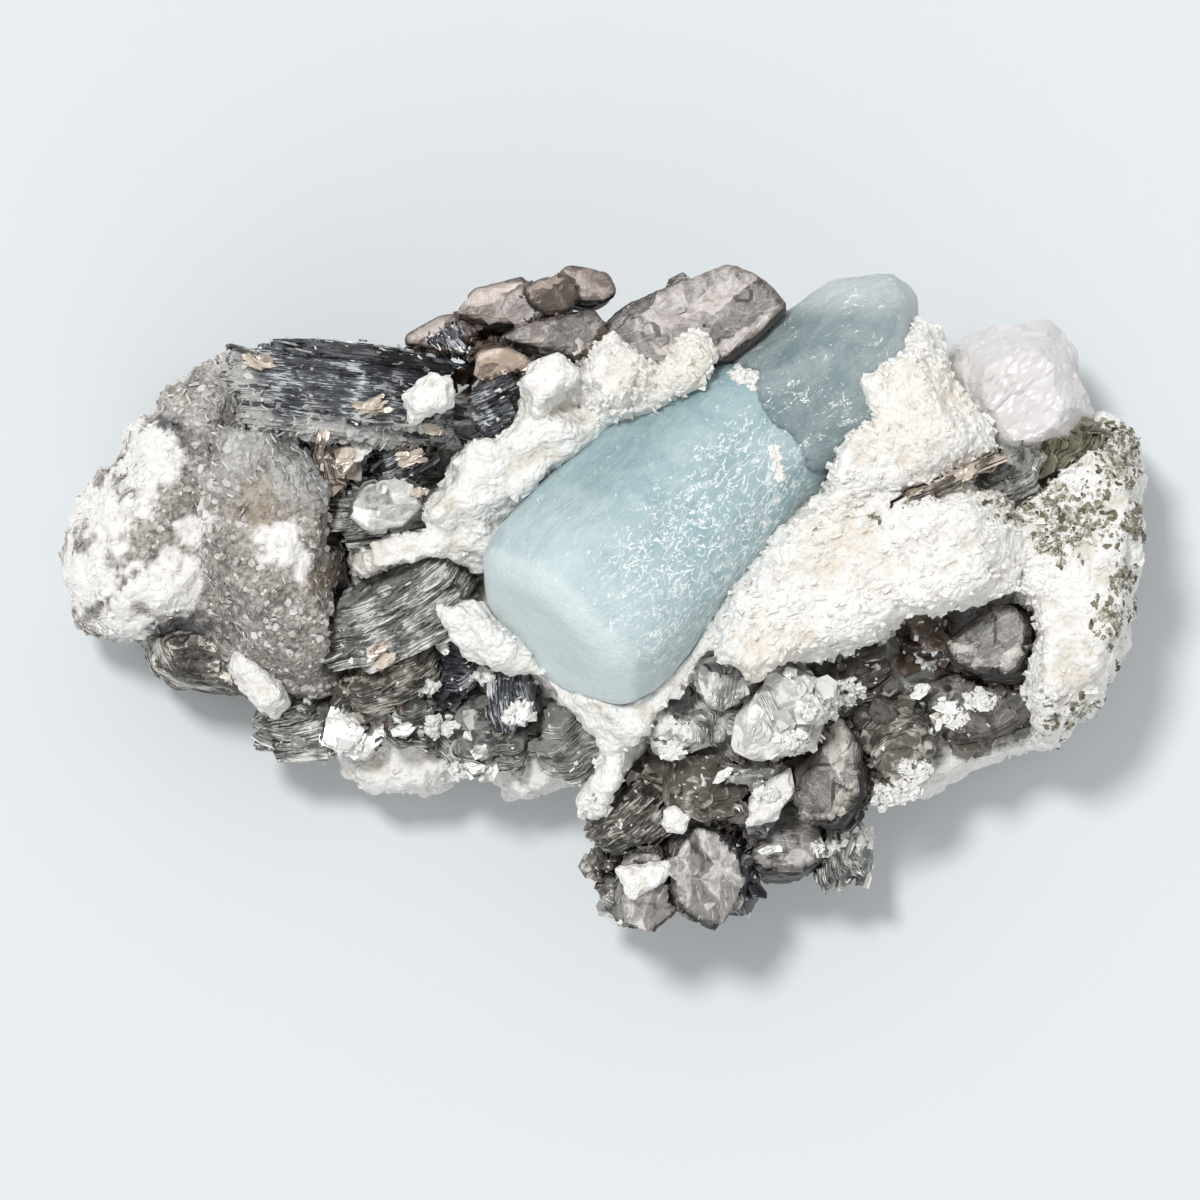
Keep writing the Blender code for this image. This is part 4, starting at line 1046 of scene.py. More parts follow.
def mica_finishes(looks):
    """The edge and the face material of each kind of mica book, each from its darkest tone to its
    palest."""
    shades = {
        "dark": ((looks.dark, looks.steel, looks.silver), ("#101114", "#3F4146", "#8E9092")),
        "silver": (("#2A2B2B", "#B2B3AE", "#F8F6F2"), ("#4A4A49", "#9C9B96", "#EFEEEA")),
        "bright": (("#4C4D4D", "#A3A29D", "#EFEEEA"), ("#C6C4C0", "#F3F2EF", "#FEFEFE")),
        "tan": ((looks.dark, "#6E675F", looks.tan), ("#8C8074", looks.tan, "#E2D8CB")),
        "grey": (("#1F1D1A", "#635E56", "#D9D5CB"), ("#2D2A26", "#625D55", "#CCC8BF")),
        "brown": (("#2A2320", "#5B4C44", "#A3978F"), ("#2A2320", "#57493F", "#988B82")),
        "olive": (("#2B2A20", looks.olive, "#CBC7B6"), ("#3D3A2C", looks.olive, "#BDB8A5")),
    }
    made = {}
    for kind, (edge, face) in shades.items():
        made[kind] = (
            mica_edge_material("Muscovite_" + kind + "_split_edges", *map(solid, edge)),
            mica_face_material("Muscovite_" + kind + "_cleavage_faces", *map(solid, face)),
        )
    return made


def mosaic_top(tree, sheet, mottle, dark, middle, pale):
    """The colour of the face of a thick mica crystal: plates that have grown together, each with its
    own tone and a pale rim, under bright scratches."""
    bend = add(tree, "TexNoise", {"Vector": sheet, "Scale": 0.5, "Detail": 3.0, "Roughness": 0.6})
    bent = add(tree, "VectorMath", {
        0: bend.outputs["Color"], 1: (1.8, 1.8, 0.0), 2: sheet,
    }, operation="MULTIPLY_ADD")
    column = add(tree, "Mapping", {"Vector": bent, "Scale": (0.5, 1.1, 0.3)})
    mosaic = add(tree, "TexVoronoi", {"Vector": column, "Scale": 0.27}, feature="F1")
    borders = add(tree, "TexVoronoi", {"Vector": column, "Scale": 0.27}, feature="DISTANCE_TO_EDGE")
    shade = add(tree, "MixRGB", {"Fac": 0.42, "Color1": mottle, "Color2": mosaic.outputs["Color"]})
    tones = add(tree, "ValToRGB", {"Fac": shade}, stops=(
        (0.34, dark), (0.46, middle), (0.53, middle), (0.66, pale),
    ))
    scratches = add(tree, "Mapping", {"Vector": sheet, "Scale": (0.25, 2.2, 0.5)})
    streaks = add(tree, "TexNoise", {
        "Vector": scratches, "Scale": 1.0, "Detail": 4.0, "Roughness": 0.7, "Distortion": 0.5,
    })
    veins = add(tree, "ValToRGB", {"Fac": streaks}, stops=((0.58, grey(0)), (0.68, grey(0.7))))
    rims = add(tree, "MapRange", {
        "Value": borders, "From Min": 0.0, "From Max": 0.03, "To Min": 0.35, "To Max": 0.0,
    })
    lit = add(tree, "Math", {0: veins, 1: rims}, operation="MAXIMUM")
    return add(tree, "MixRGB", {"Fac": lit, "Color1": tones, "Color2": pale})


def glassy_mica_material(name, dark, middle, pale):
    """A thick mica crystal, naturally grown and a little etched: a soft sheen over a mosaic of grown
    together plates with pale rims and scratches, and dark with fine level lines on its sides."""
    # Scales are per millimetre: mottling about 2.2 mm wide, plates 3.5 to 7 mm across, scratches about
    # 0.5 mm wide and 4 mm long, and the lines on the sides as bundles of sheets 0.3 mm thick.
    material, tree = blank(name)
    sheet = add(tree, "Attribute", attribute_name="sheet_mm").outputs["Vector"]
    mottle = add(tree, "TexNoise", {
        "Vector": sheet, "Scale": 0.45, "Detail": 6.0, "Roughness": 0.66, "Distortion": 1.0,
    })
    top = mosaic_top(tree, sheet, mottle, dark, middle, pale)
    along = add(tree, "Mapping", {"Vector": sheet, "Scale": (0.15, 0.15, 3.2)})
    lines = add(tree, "TexNoise", {"Vector": along, "Scale": 1.0, "Detail": 5.0, "Roughness": 0.7})
    edges = add(tree, "ValToRGB", {"Fac": lines}, stops=(
        (0.40, linear("#1E1A19")), (0.52, dark), (0.60, middle), (0.72, pale),
    ))
    face = add(tree, "Attribute", attribute_name="face").outputs["Fac"]
    mixed = add(tree, "MixRGB", {"Fac": face, "Color1": edges, "Color2": top})
    height = add(tree, "Math", {0: mottle, 1: lines}, operation="ADD")
    bump = add(tree, "Bump", {"Height": height, "Strength": 0.5, "Distance": 0.3 * MM})
    shader = add(tree, "BsdfPrincipled", {
        "Base Color": mixed, "Roughness": 0.33, "IOR": 1.59, "Specular IOR Level": 0.5, "Normal": bump,
    })
    add(tree, "OutputMaterial", {"Surface": shader})
    return material


def glassy_finishes():
    """The glassy mica crystals by look, each from its darkest tone to its palest."""
    shades = {
        "smoky": ("#3F3936", "#716964", "#B8AFAA"),
        "pink": ("#382F2B", "#73665F", "#B5A79F"),
        "brown": ("#1E1917", "#4D4038", "#A08F83"),
        "umber": ("#211E1B", "#4D4741", "#ADA79E"),
        "grey": ("#403D3B", "#8B8783", "#DAD7D3"),
        "tan": ("#6F6055", "#AE9B8A", "#DCCDBD"),
        "pale": ("#6F6F6B", "#B4B4AF", "#F6F6F3"),
    }
    return {
        look: glassy_mica_material("Mica_" + look + "_glassy_crystal", *map(linear, codes))
        for look, codes in shades.items()
    }


def fine_mica_material(looks):
    """Fine grained mica, grown as a felt of tiny scales: grey brown and glittering, with chalky white
    feldspar, dark mica and ochre iron stain in patches."""
    # Its scales are 0.2 to 0.8 mm wide, drawn 0.9 mm wide so that they show, and their tone changes
    # about every 6 mm.
    material, tree = blank("Mica_fine_scaly_felt")
    place = add(tree, "TexCoord").outputs["Object"]
    specks = add(tree, "TexNoise", {
        "Vector": place, "Scale": per_mm(0.9), "Detail": 5.0, "Roughness": 0.8,
    })
    broad = add(tree, "TexNoise", {
        "Vector": place, "Scale": per_mm(6.0), "Detail": 4.0, "Roughness": 0.6,
    })
    level = add(tree, "Math", {0: broad, 1: 0.6, 2: specks}, operation="MULTIPLY_ADD")
    tone = add(tree, "Attribute", attribute_name="tone").outputs["Fac"]
    level = add(tree, "Math", {0: tone, 1: 0.28, 2: level}, operation="MULTIPLY_ADD")
    mixed = add(tree, "ValToRGB", {"Fac": level}, stops=(
        (0.58, linear("#46423E")), (0.72, linear("#807A74")), (0.82, solid(looks.fine)),
        (0.94, linear("#C8C3BD")), (1.0, linear("#E6E3DF")),
    ))
    # the flow is in millimetres: combed strands about 0.7 mm wide and 6 mm long
    flow = add(tree, "Attribute", attribute_name="flow_mm").outputs["Vector"]
    drawn = add(tree, "Mapping", {"Vector": flow, "Scale": (0.16, 1.5, 0.8)})
    combing = add(tree, "TexNoise", {
        "Vector": drawn, "Scale": 1.0, "Detail": 4.0, "Roughness": 0.7, "Distortion": 0.4,
    })
    for zone, code, pattern, sharp in (
        ("combed", "#C9CCCD", combing, 2.6), ("iron", "#A88C62", specks, 0.9),
        ("black", "#35363A", specks, 0.9), ("chalk", "#F6F4F1", specks, 0.9),
    ):
        share = add(tree, "Attribute", attribute_name=zone).outputs["Fac"]
        edge = add(tree, "Math", {0: pattern, 1: sharp, 2: -sharp / 2}, operation="MULTIPLY_ADD")
        total = add(tree, "Math", {0: share, 1: edge}, operation="ADD", use_clamp=True)
        spread = add(tree, "Math", {0: total, 1: share}, operation="MULTIPLY", use_clamp=True)
        mixed = add(tree, "MixRGB", {"Fac": spread, "Color1": mixed, "Color2": linear(code)})
    bump = add(tree, "Bump", {"Height": specks, "Strength": 0.8, "Distance": 0.3 * MM})
    shader = add(tree, "BsdfPrincipled", {
        "Base Color": mixed, "Roughness": 0.42, "IOR": 1.57, "Metallic": 0.1, "Normal": bump,
    })
    add(tree, "OutputMaterial", {"Surface": shader})
    return material


def milky_body(tree, colour, rim, local, lines):
    """The colour inside a beryl: veils and rims of milk, and darker growth lines where it is streaky."""
    veil = add(tree, "TexNoise", {
        "Vector": local, "Scale": 0.15, "Detail": 7.0, "Roughness": 0.68, "Distortion": 0.8,
    })
    thin_veil = add(tree, "MapRange", {
        "Value": veil, "From Min": 0.38, "From Max": 0.64, "To Min": 0.0, "To Max": 0.45,
    })
    milky = add(tree, "MixRGB", {"Fac": thin_veil, "Color1": colour, "Color2": rim})
    # where a crystal is stamped pale it takes its milky colour: on the front crystal's end face this is
    # painted light
    pale_and_painted_light = add(tree, "Attribute", attribute_name="pale").outputs["Fac"]
    milky = add(tree, "MixRGB", {"Fac": pale_and_painted_light, "Color1": milky, "Color2": rim})
    streaky = add(tree, "Attribute", attribute_name="streaks").outputs["Fac"]
    dark_line = add(tree, "MapRange", {
        "Value": lines, "From Min": 0.36, "From Max": 0.64, "To Min": 1.0, "To Max": 0.0,
    })
    streak = add(tree, "Math", {0: streaky, 1: dark_line}, operation="MULTIPLY", use_clamp=True)
    streak = add(tree, "Math", {0: streak, 1: 0.45}, operation="MULTIPLY")
    return add(tree, "MixRGB", {"Fac": streak, "Color1": milky, "Color2": linear("#9DB6BC")})


def fleck_lines(tree, local):
    """Where the etch flecks show: thin broken curls, as many as the point's cover says."""
    # real flecks are about 0.1 mm wide and 1 mm long, drawn a little wider so that they show
    drawn = add(tree, "Mapping", {"Vector": local, "Scale": (0.6, 1.1, 1.0)})
    curls = add(tree, "TexNoise", {
        "Vector": drawn, "Scale": 0.75, "Detail": 4.0, "Roughness": 0.6, "Distortion": 0.5,
    })
    middle = add(tree, "Math", {0: curls, 1: 0.5}, operation="SUBTRACT")
    thin = add(tree, "Math", {0: middle}, operation="ABSOLUTE")
    line = add(tree, "MapRange", {
        "Value": thin, "From Min": 0.011, "From Max": 0.022, "To Min": 1.0, "To Max": 0.0,
    })
    breaks = add(tree, "TexNoise", {"Vector": local, "Scale": 0.9, "Detail": 3.0, "Roughness": 0.75})
    cover = add(tree, "Attribute", attribute_name="flecks").outputs["Fac"]
    level = add(tree, "Math", {0: cover, 1: 0.42, 2: breaks}, operation="MULTIPLY_ADD")
    parts = add(tree, "MapRange", {"Value": level, "From Min": 0.58, "From Max": 0.66})
    return add(tree, "Math", {0: line, 1: parts}, operation="MULTIPLY")


def beryl_material(item, colour, fleck):
    """Natural beryl with etched faces: see-through but milky, pale blue by absorption along the way
    light takes through it, satin outside, with fine growth lines and white etch flecks."""
    # Scales are per millimetre: growth lines about 0.6 mm wide and 3.3 mm long, milky veils about
    # 6.5 mm wide and etch grain about 0.8 mm wide.
    material, tree = blank(item.finish)
    local = add(tree, "Attribute", attribute_name="crystal_mm").outputs["Vector"]
    along = add(tree, "Mapping", {"Vector": local, "Scale": (0.3, 1.8, 1.8)})
    lines = add(tree, "TexNoise", {"Vector": along, "Scale": 1.0, "Detail": 4.0, "Roughness": 0.6})
    body = milky_body(tree, colour, linear(item.milky), local, lines)
    etched = add(tree, "TexNoise", {
        "Vector": local, "Scale": 1.3, "Detail": 4.0, "Roughness": 0.65, "Distortion": 0.7,
    })
    rough = add(tree, "Math", {0: lines, 1: etched}, operation="ADD")
    bump = add(tree, "Bump", {"Height": rough, "Strength": 0.7, "Distance": 0.3 * MM})
    crystal = add(tree, "BsdfPrincipled", {
        "Base Color": body, "Roughness": 0.5, "IOR": 1.577, "Specular IOR Level": 0.25,
        "Transmission Weight": item.clearness, "Normal": bump,
    })
    shown = fleck_lines(tree, local)
    white = add(tree, "BsdfPrincipled", {"Base Color": fleck, "Roughness": 0.6, "IOR": 1.53})
    both = add(tree, "MixShader", {0: shown, 1: crystal, 2: white})
    volume = add(tree, "VolumeAbsorption", {"Color": linear(item.inside), "Density": item.absorption})
    add(tree, "OutputMaterial", {"Surface": both, "Volume": volume})
    return material


def quartz_material(looks):
    """Milky quartz, broken with glassy steps: pinkish white, see-through at its edges."""
    material, tree = blank(QUARTZ)
    place = add(tree, "TexCoord").outputs["Object"]
    # the milk lies in veils 2 to 5 mm wide
    veil = add(tree, "TexNoise", {
        "Vector": place, "Scale": per_mm(3.5), "Detail": 4.0, "Roughness": 0.6,
    })
    body = add(tree, "MixRGB", {"Fac": veil, "Color1": linear("#F6F2F1"), "Color2": solid(looks.body)})
    bump = add(tree, "Bump", {"Height": veil, "Strength": 0.3, "Distance": 0.3 * MM})
    shader = add(tree, "BsdfPrincipled", {
        "Base Color": body, "Roughness": 0.33, "IOR": 1.544, "Transmission Weight": 0.35,
        "Normal": bump,
    })
    add(tree, "OutputMaterial", {"Surface": shader})
    return material


def floor_material(looks):
    """Pale matt paper sweep: even, with no gloss to mirror the specimen."""
    material, tree = blank("Paper_pale_matt")
    place = add(tree, "TexCoord").outputs["Object"]
    # the tooth of paper is about 0.1 mm wide, too fine to show, so it is drawn 0.8 mm wide
    tooth = add(tree, "TexNoise", {"Vector": place, "Scale": per_mm(0.8), "Detail": 2.0})
    bump = add(tree, "Bump", {"Height": tooth, "Strength": 0.05, "Distance": 0.02 * MM})
    shader = add(tree, "BsdfPrincipled", {
        "Base Color": solid(looks.floor), "Roughness": 0.95, "Specular IOR Level": 0.1, "Normal": bump,
    })
    add(tree, "OutputMaterial", {"Surface": shader})
    return material


# ---------------------------------------------------------------- places on the rock, in plan

# Clusters of cleavage flakes that stand out among the books: x, y, half length and heading in degrees.
PATCHES = {
    "tan": (
        (-47.3, 33.5, 2.4, -15), (-31.4, 26.7, 2.8, 15), (-38.8, 21.8, 2.2, 80), (-35.6, 19.4, 2.0, 50),
        (-26.6, 20.0, 2.9, 20), (-23.2, 23.6, 1.3, -30), (-31.0, -7.0, 1.6, 30), (-29.8, -8.7, 1.5, 40),
        (-25.0, 15.0, 1.4, 20), (50.5, 17.4, 1.4, 30), (30.5, 9.5, 1.2, 25),
    ),
    "bright": (
        (-10.6, -15.2, 1.5, 60), (-11.6, -16.4, 1.2, 20), (-21.8, -6.5, 1.4, -50),
        (-27.6, -18.2, 1.6, 10), (65.0, 17.5, 1.9, 20), (67.0, 15.0, 1.5, -40), (44.8, -12.6, 1.3, 40),
        (48.4, -14.8, 1.8, 10), (46.5, -17.6, 1.4, 70), (17.0, -24.4, 1.0, 30), (24.0, -35.0, 1.0, 0),
    ),
}

# Round places in plan, each with its middle and radius (x, y, radius), in millimetres.
CLUMPS = (  # albite grains cling to the books
    (31.4, -14.8, 2.2), (33.9, -12.7, 1.8), (43, -11.5, 1.3), (53, -14, 1.5), (49.4, -16.5, 1.2),
    (41.4, -27.4, 2.2), (44, -23.7, 1.4), (36.4, -33.3, 1.5), (31.4, -34.6, 1.2), (23, -27, 1.0),
    (-0.6, -28.3, 1.6), (-22, -17.5, 1.4), (-20.7, -24, 1.5), (-11.2, -15.7, 1.2), (10, -21, 1.0),
    (27, -19.5, 1.2), (61, -13, 1.5), (-16, -10.5, 1.0), (-24, -12, 1.0), (46.5, -8, 1.3),
)
CRUST = ((19.5, 31.5, 1.5), (22, 30.5, 1.8), (24.5, 29, 1.6), (26, 26.5, 1.2))  # on the front crystal
BAR = ((24.2, 20.8, 0.6), (24.4, 19.6, 0.6), (24.6, 18.2, 0.6), (24.9, 17.0, 0.6))  # in a row beside it
# cream iron stains on the albite
STAINS = ((4, 33, 5), (12, 33, 4), (41, 23, 5), (22, -9, 5), (33, 9, 5), (-33, 8, 4), (47, 28, 5))
DUST = (  # olive mica dust on the albite
    (65, 12, 6), (60, 19, 5), (73, 20, 4), (71.5, -3, 2.5), (67, -18, 3.5), (74.5, 11, 2.5),
    (57, 14, 4), (73, 3, 2.5), (56, 18, 3.5), (47, 15, 1.6), (43, 13.5, 1.4), (38, 11.5, 1.2),
    (61, 9, 2),
)
CHALK = (  # chalky feldspar in the fine mica
    (-70, 12, 6.5), (-63, 19, 5), (-72, 3, 5), (-61, 2, 5), (-44, 7, 3.5), (-67, -3, 4),
    (-66, 26, 3), (-57, 10, 2.5),
)
IRON = ((-46.5, 14, 3.5), (-45, 9, 2.5), (-38, 3, 2.5))  # ochre stains in the fine mica
# black scales in the fine mica
BLACK = ((-72, 1, 2.5), (-70, 3.5, 2.6), (-58, -5, 4.5), (-63, -6, 4), (-60, 24, 2.5), (-36, 1, 2.2))

NOTCHES = ((-15.0, 36.5, 31.0), (-18.9, 31.2, 30.0))  # middles of gaps that loose flakes fill
NEEDLE = (-8.3, 13.3)  # where the black needle lies on the front crystal, in plan


def neighbours_of(own):
    """A search tree over every CAD node but this one."""
    return cad_tree(*(node for node in frame["nodes"] if node != own))


def book_felt(points):
    """How far the fine mica covers the large book: its lower left, with an uneven border."""
    border = points[:, 1] - 1.5 * np.maximum(-44 - points[:, 0], 0) + 2.0 * cloud(points, 3.0, 92)
    return 1 - ramp(border, 21.5, 27)


def dust_on(points):
    """Where olive mica dusts the albite: at its places on the top, and in clouds down the right end."""
    top = ramp(points[:, 2], 18, 28)
    clouds = ramp(cloud(points, 8.0, 64) + 0.5 * cloud(points, 2.5, 65), 0.1, 0.6)
    return top * spots(points, DUST, 0.7) + (1 - top) * clouds * ramp(points[:, 0], 60, 68)


def rock_zones(mesh, points):
    """Stamps where the albite is stained by iron and dusted with mica."""
    stamp(mesh, "stain", 0.27 * spots(points, STAINS, 0.7))
    stamp(mesh, "dust", dust_on(points))


def felt_zones(mesh, points):
    """Stamps the flow of the fine mica and where it is combed, iron stained, black and chalky."""
    combed = ramp(points[:, 1], 10, 18) * ramp(points[:, 0], -60, -50)
    aside = np.cross(unit(MASS_FLOW), (0, 0, 1))
    stamp(mesh, "flow_mm", np.stack([points @ MASS_FLOW, points @ aside, points[:, 2]], axis=1))
    stamp(mesh, "combed", 0.85 * combed * (0.8 + 0.4 * cloud(points, 5.0, 91)))
    stamp(mesh, "iron", 0.55 * spots(points, IRON, 0.6))
    stamp(mesh, "black", 0.9 * spots(points, BLACK))
    stamp(mesh, "chalk", spots(points, CHALK))


def on_albite(name, mesh, smooth=False, nodes=()):
    """Shows a mesh of albite, with its stains and its dust."""
    rock_zones(mesh, points_of(mesh))
    show(name, mesh, [bpy.data.materials[ALBITE]], nodes, smooth)


def face_of(kind):
    """The cleavage face material of a kind of mica."""
    return bpy.data.materials["Muscovite_" + kind + "_cleavage_faces"]


class SPECIMEN_OT_albite_matrix(bpy.types.Operator):
    """Builds the white albite matrix that carries every crystal"""

    bl_idname = "specimen.albite_matrix"
    bl_label = "Albite matrix"

    def execute(self, context):
        albite_material(context.scene.specimen_albite)
        mesh = fine_skin("albite_matrix", ROCK_FACE)
        grow(mesh, neighbours_of("albite_matrix"), albite_relief)
        on_albite("albite_matrix_rock", mesh, smooth=True, nodes=["albite_matrix"])
        return {"FINISHED"}


class SPECIMEN_OT_albite_blades(bpy.types.Operator):
    """Covers the matrix with its single blades and grains of albite"""

    bl_idname = "specimen.albite_blades"
    bl_label = "Albite blades"

    def execute(self, context):
        rng = np.random.default_rng(BLADES_SEED)
        looks = context.scene.specimen_albite
        rock = bpy.data.objects["albite_matrix_rock"].data
        places, normals = scattered(
            rock, BLADES_TRIED, rng,
            lambda p, n: (n[:, 2] > -0.2) & (bladed(p)[0] + 0.12 > rng.random(len(p))),
        )
        share, rows, tips = bladed(places)
        group = grains(places, 5.0, 71)[1]
        turn = group * math.tau * 3
        drift = np.stack([np.cos(turn), np.sin(turn), 0.5 * np.cos(2.7 * turn)], axis=1)
        spread = stray(places, rng)
        tips = unit(
            normals * (1 - 0.6 * share)[:, None] + tips * (1.1 * share)[:, None] + 0.5 * drift
            + 0.2 * spread
        )
        rows = unit(rows * share[:, None] + drift[:, [1, 2, 0]] * (1.1 - share)[:, None] + 0.1 * spread)
        size = looks.blade / MM
        length = size * (0.4 + 0.8 * rng.random(len(places)) ** 1.5)
        width = size * (0.3 + 0.9 * rng.random(len(places)) ** 2)
        depth = size * (0.16 + 0.2 * rng.random(len(places)))
        mesh = blades("albite_blades", places, tips, rows, np.stack([length, width, depth], 1), rng)
        on_albite("albite_blades", mesh)
        return {"FINISHED"}


class SPECIMEN_OT_fine_mica(bpy.types.Operator):
    """Builds the felt of fine mica at the left end, with its loose scales"""

    bl_idname = "specimen.fine_mica"
    bl_label = "Fine mica"

    def execute(self, context):
        rng = np.random.default_rng(FELT_SEED)
        mesh = fine_skin("fine_mica_mass", FELT_FACE)
        points = grow(mesh, neighbours_of("fine_mica_mass"), mass_relief)
        felt_zones(mesh, points)
        material = fine_mica_material(context.scene.specimen_mica)
        places, normals = scattered(
            mesh, SCALES_TRIED, rng, lambda p, n: (p[:, 2] > 2) & (n[:, 2] > -0.4)
        )
        show("fine_mica_felt", mesh, [material], ["fine_mica_mass"])
        combed = combed_near_book(places)
        spread = stray(places, rng)
        lean = np.array((0.75, 0.5, 0.15))
        ups = unit(normals * (1 - 0.5 * combed)[:, None] + lean * combed[:, None] + 0.38 * spread)
        runs = MASS_FLOW + 0.4 * stray(places, rng)
        radii = 0.28 + 0.5 * rng.random(len(places)) ** 2 + 0.5 * combed * rng.random(len(places))
        scales = plates("fine_mica_scales", places + normals * 0.1, ups, runs, radii, 0.3 * radii, rng)
        felt_zones(scales, points_of(scales))
        show("fine_mica_scales", scales, [material])
        return {"FINISHED"}


class SPECIMEN_OT_mica_books(bpy.types.Operator):
    """Builds every mica book with its sheets"""

    bl_idname = "specimen.mica_books"
    bl_label = "Mica books"

    def execute(self, context):
        made = mica_finishes(context.scene.specimen_mica)
        for seed, item in enumerate(STACKS, FIRST_BOOK_SEED):
            mesh = stack_mesh(item, np.random.default_rng(seed))
            if item.node == "muscovite_book_large":
                # felt covers its lower left, and its farthest sheets are darkened with painted shade
                points = points_of(mesh)
                stamp(mesh, "felted", 0.8 * book_felt(points))
                stamp(mesh, "shaded", ramp(points[:, 1] + 0.2 * (points[:, 0] + 42), 33.6, 35))
            show(item.node + "_sheets", mesh, made[item.finish], [item.node])
        return {"FINISHED"}


class SPECIMEN_OT_mica_crystals(bpy.types.Operator):
    """Builds the glassy mica crystals and thick plates"""

    bl_idname = "specimen.mica_crystals"
    bl_label = "Glassy mica crystals"

    def execute(self, context):
        made = glassy_finishes()
        rng = np.random.default_rng(PLATES_SEED)
        for item in CHUNKS:
            mesh = chunk_mesh(item)
            count = count_on(mesh, THICK_PLATES_PER_MM2)
            places, normals = scattered(mesh, count, rng, lambda p, n: n[:, 2] > 0.6)
            show(item.node + "_glassy", mesh, [made[item.look]], [item.node])
            if len(places) == 0:
                continue
            run, _, up = axes_of(item.along, item.across)
            ups = unit(up + 0.07 * stray(places, rng))
            runs = run + 0.15 * stray(places, rng)
            radii = 0.8 + 1.7 * rng.random(len(places)) ** 2
            inset = radii[:, None] * np.sqrt(1 - np.clip(normals @ up, 0, 1) ** 2)[:, None]
            thick = 0.25 + 0.35 * rng.random(len(places))
            places = places - normals * (0.12 + 0.8 * inset)
            mesh = plates("thick_plates", places, ups, runs, radii, thick, rng)
            # of the twelve points of each plate, the upper six look fully like a face
            stamp(mesh, "face", 0.7 + 0.3 * (np.arange(len(mesh.vertices)) % 12 > 5))
            show(item.node + "_plates", mesh, [made[item.look]])
        return {"FINISHED"}


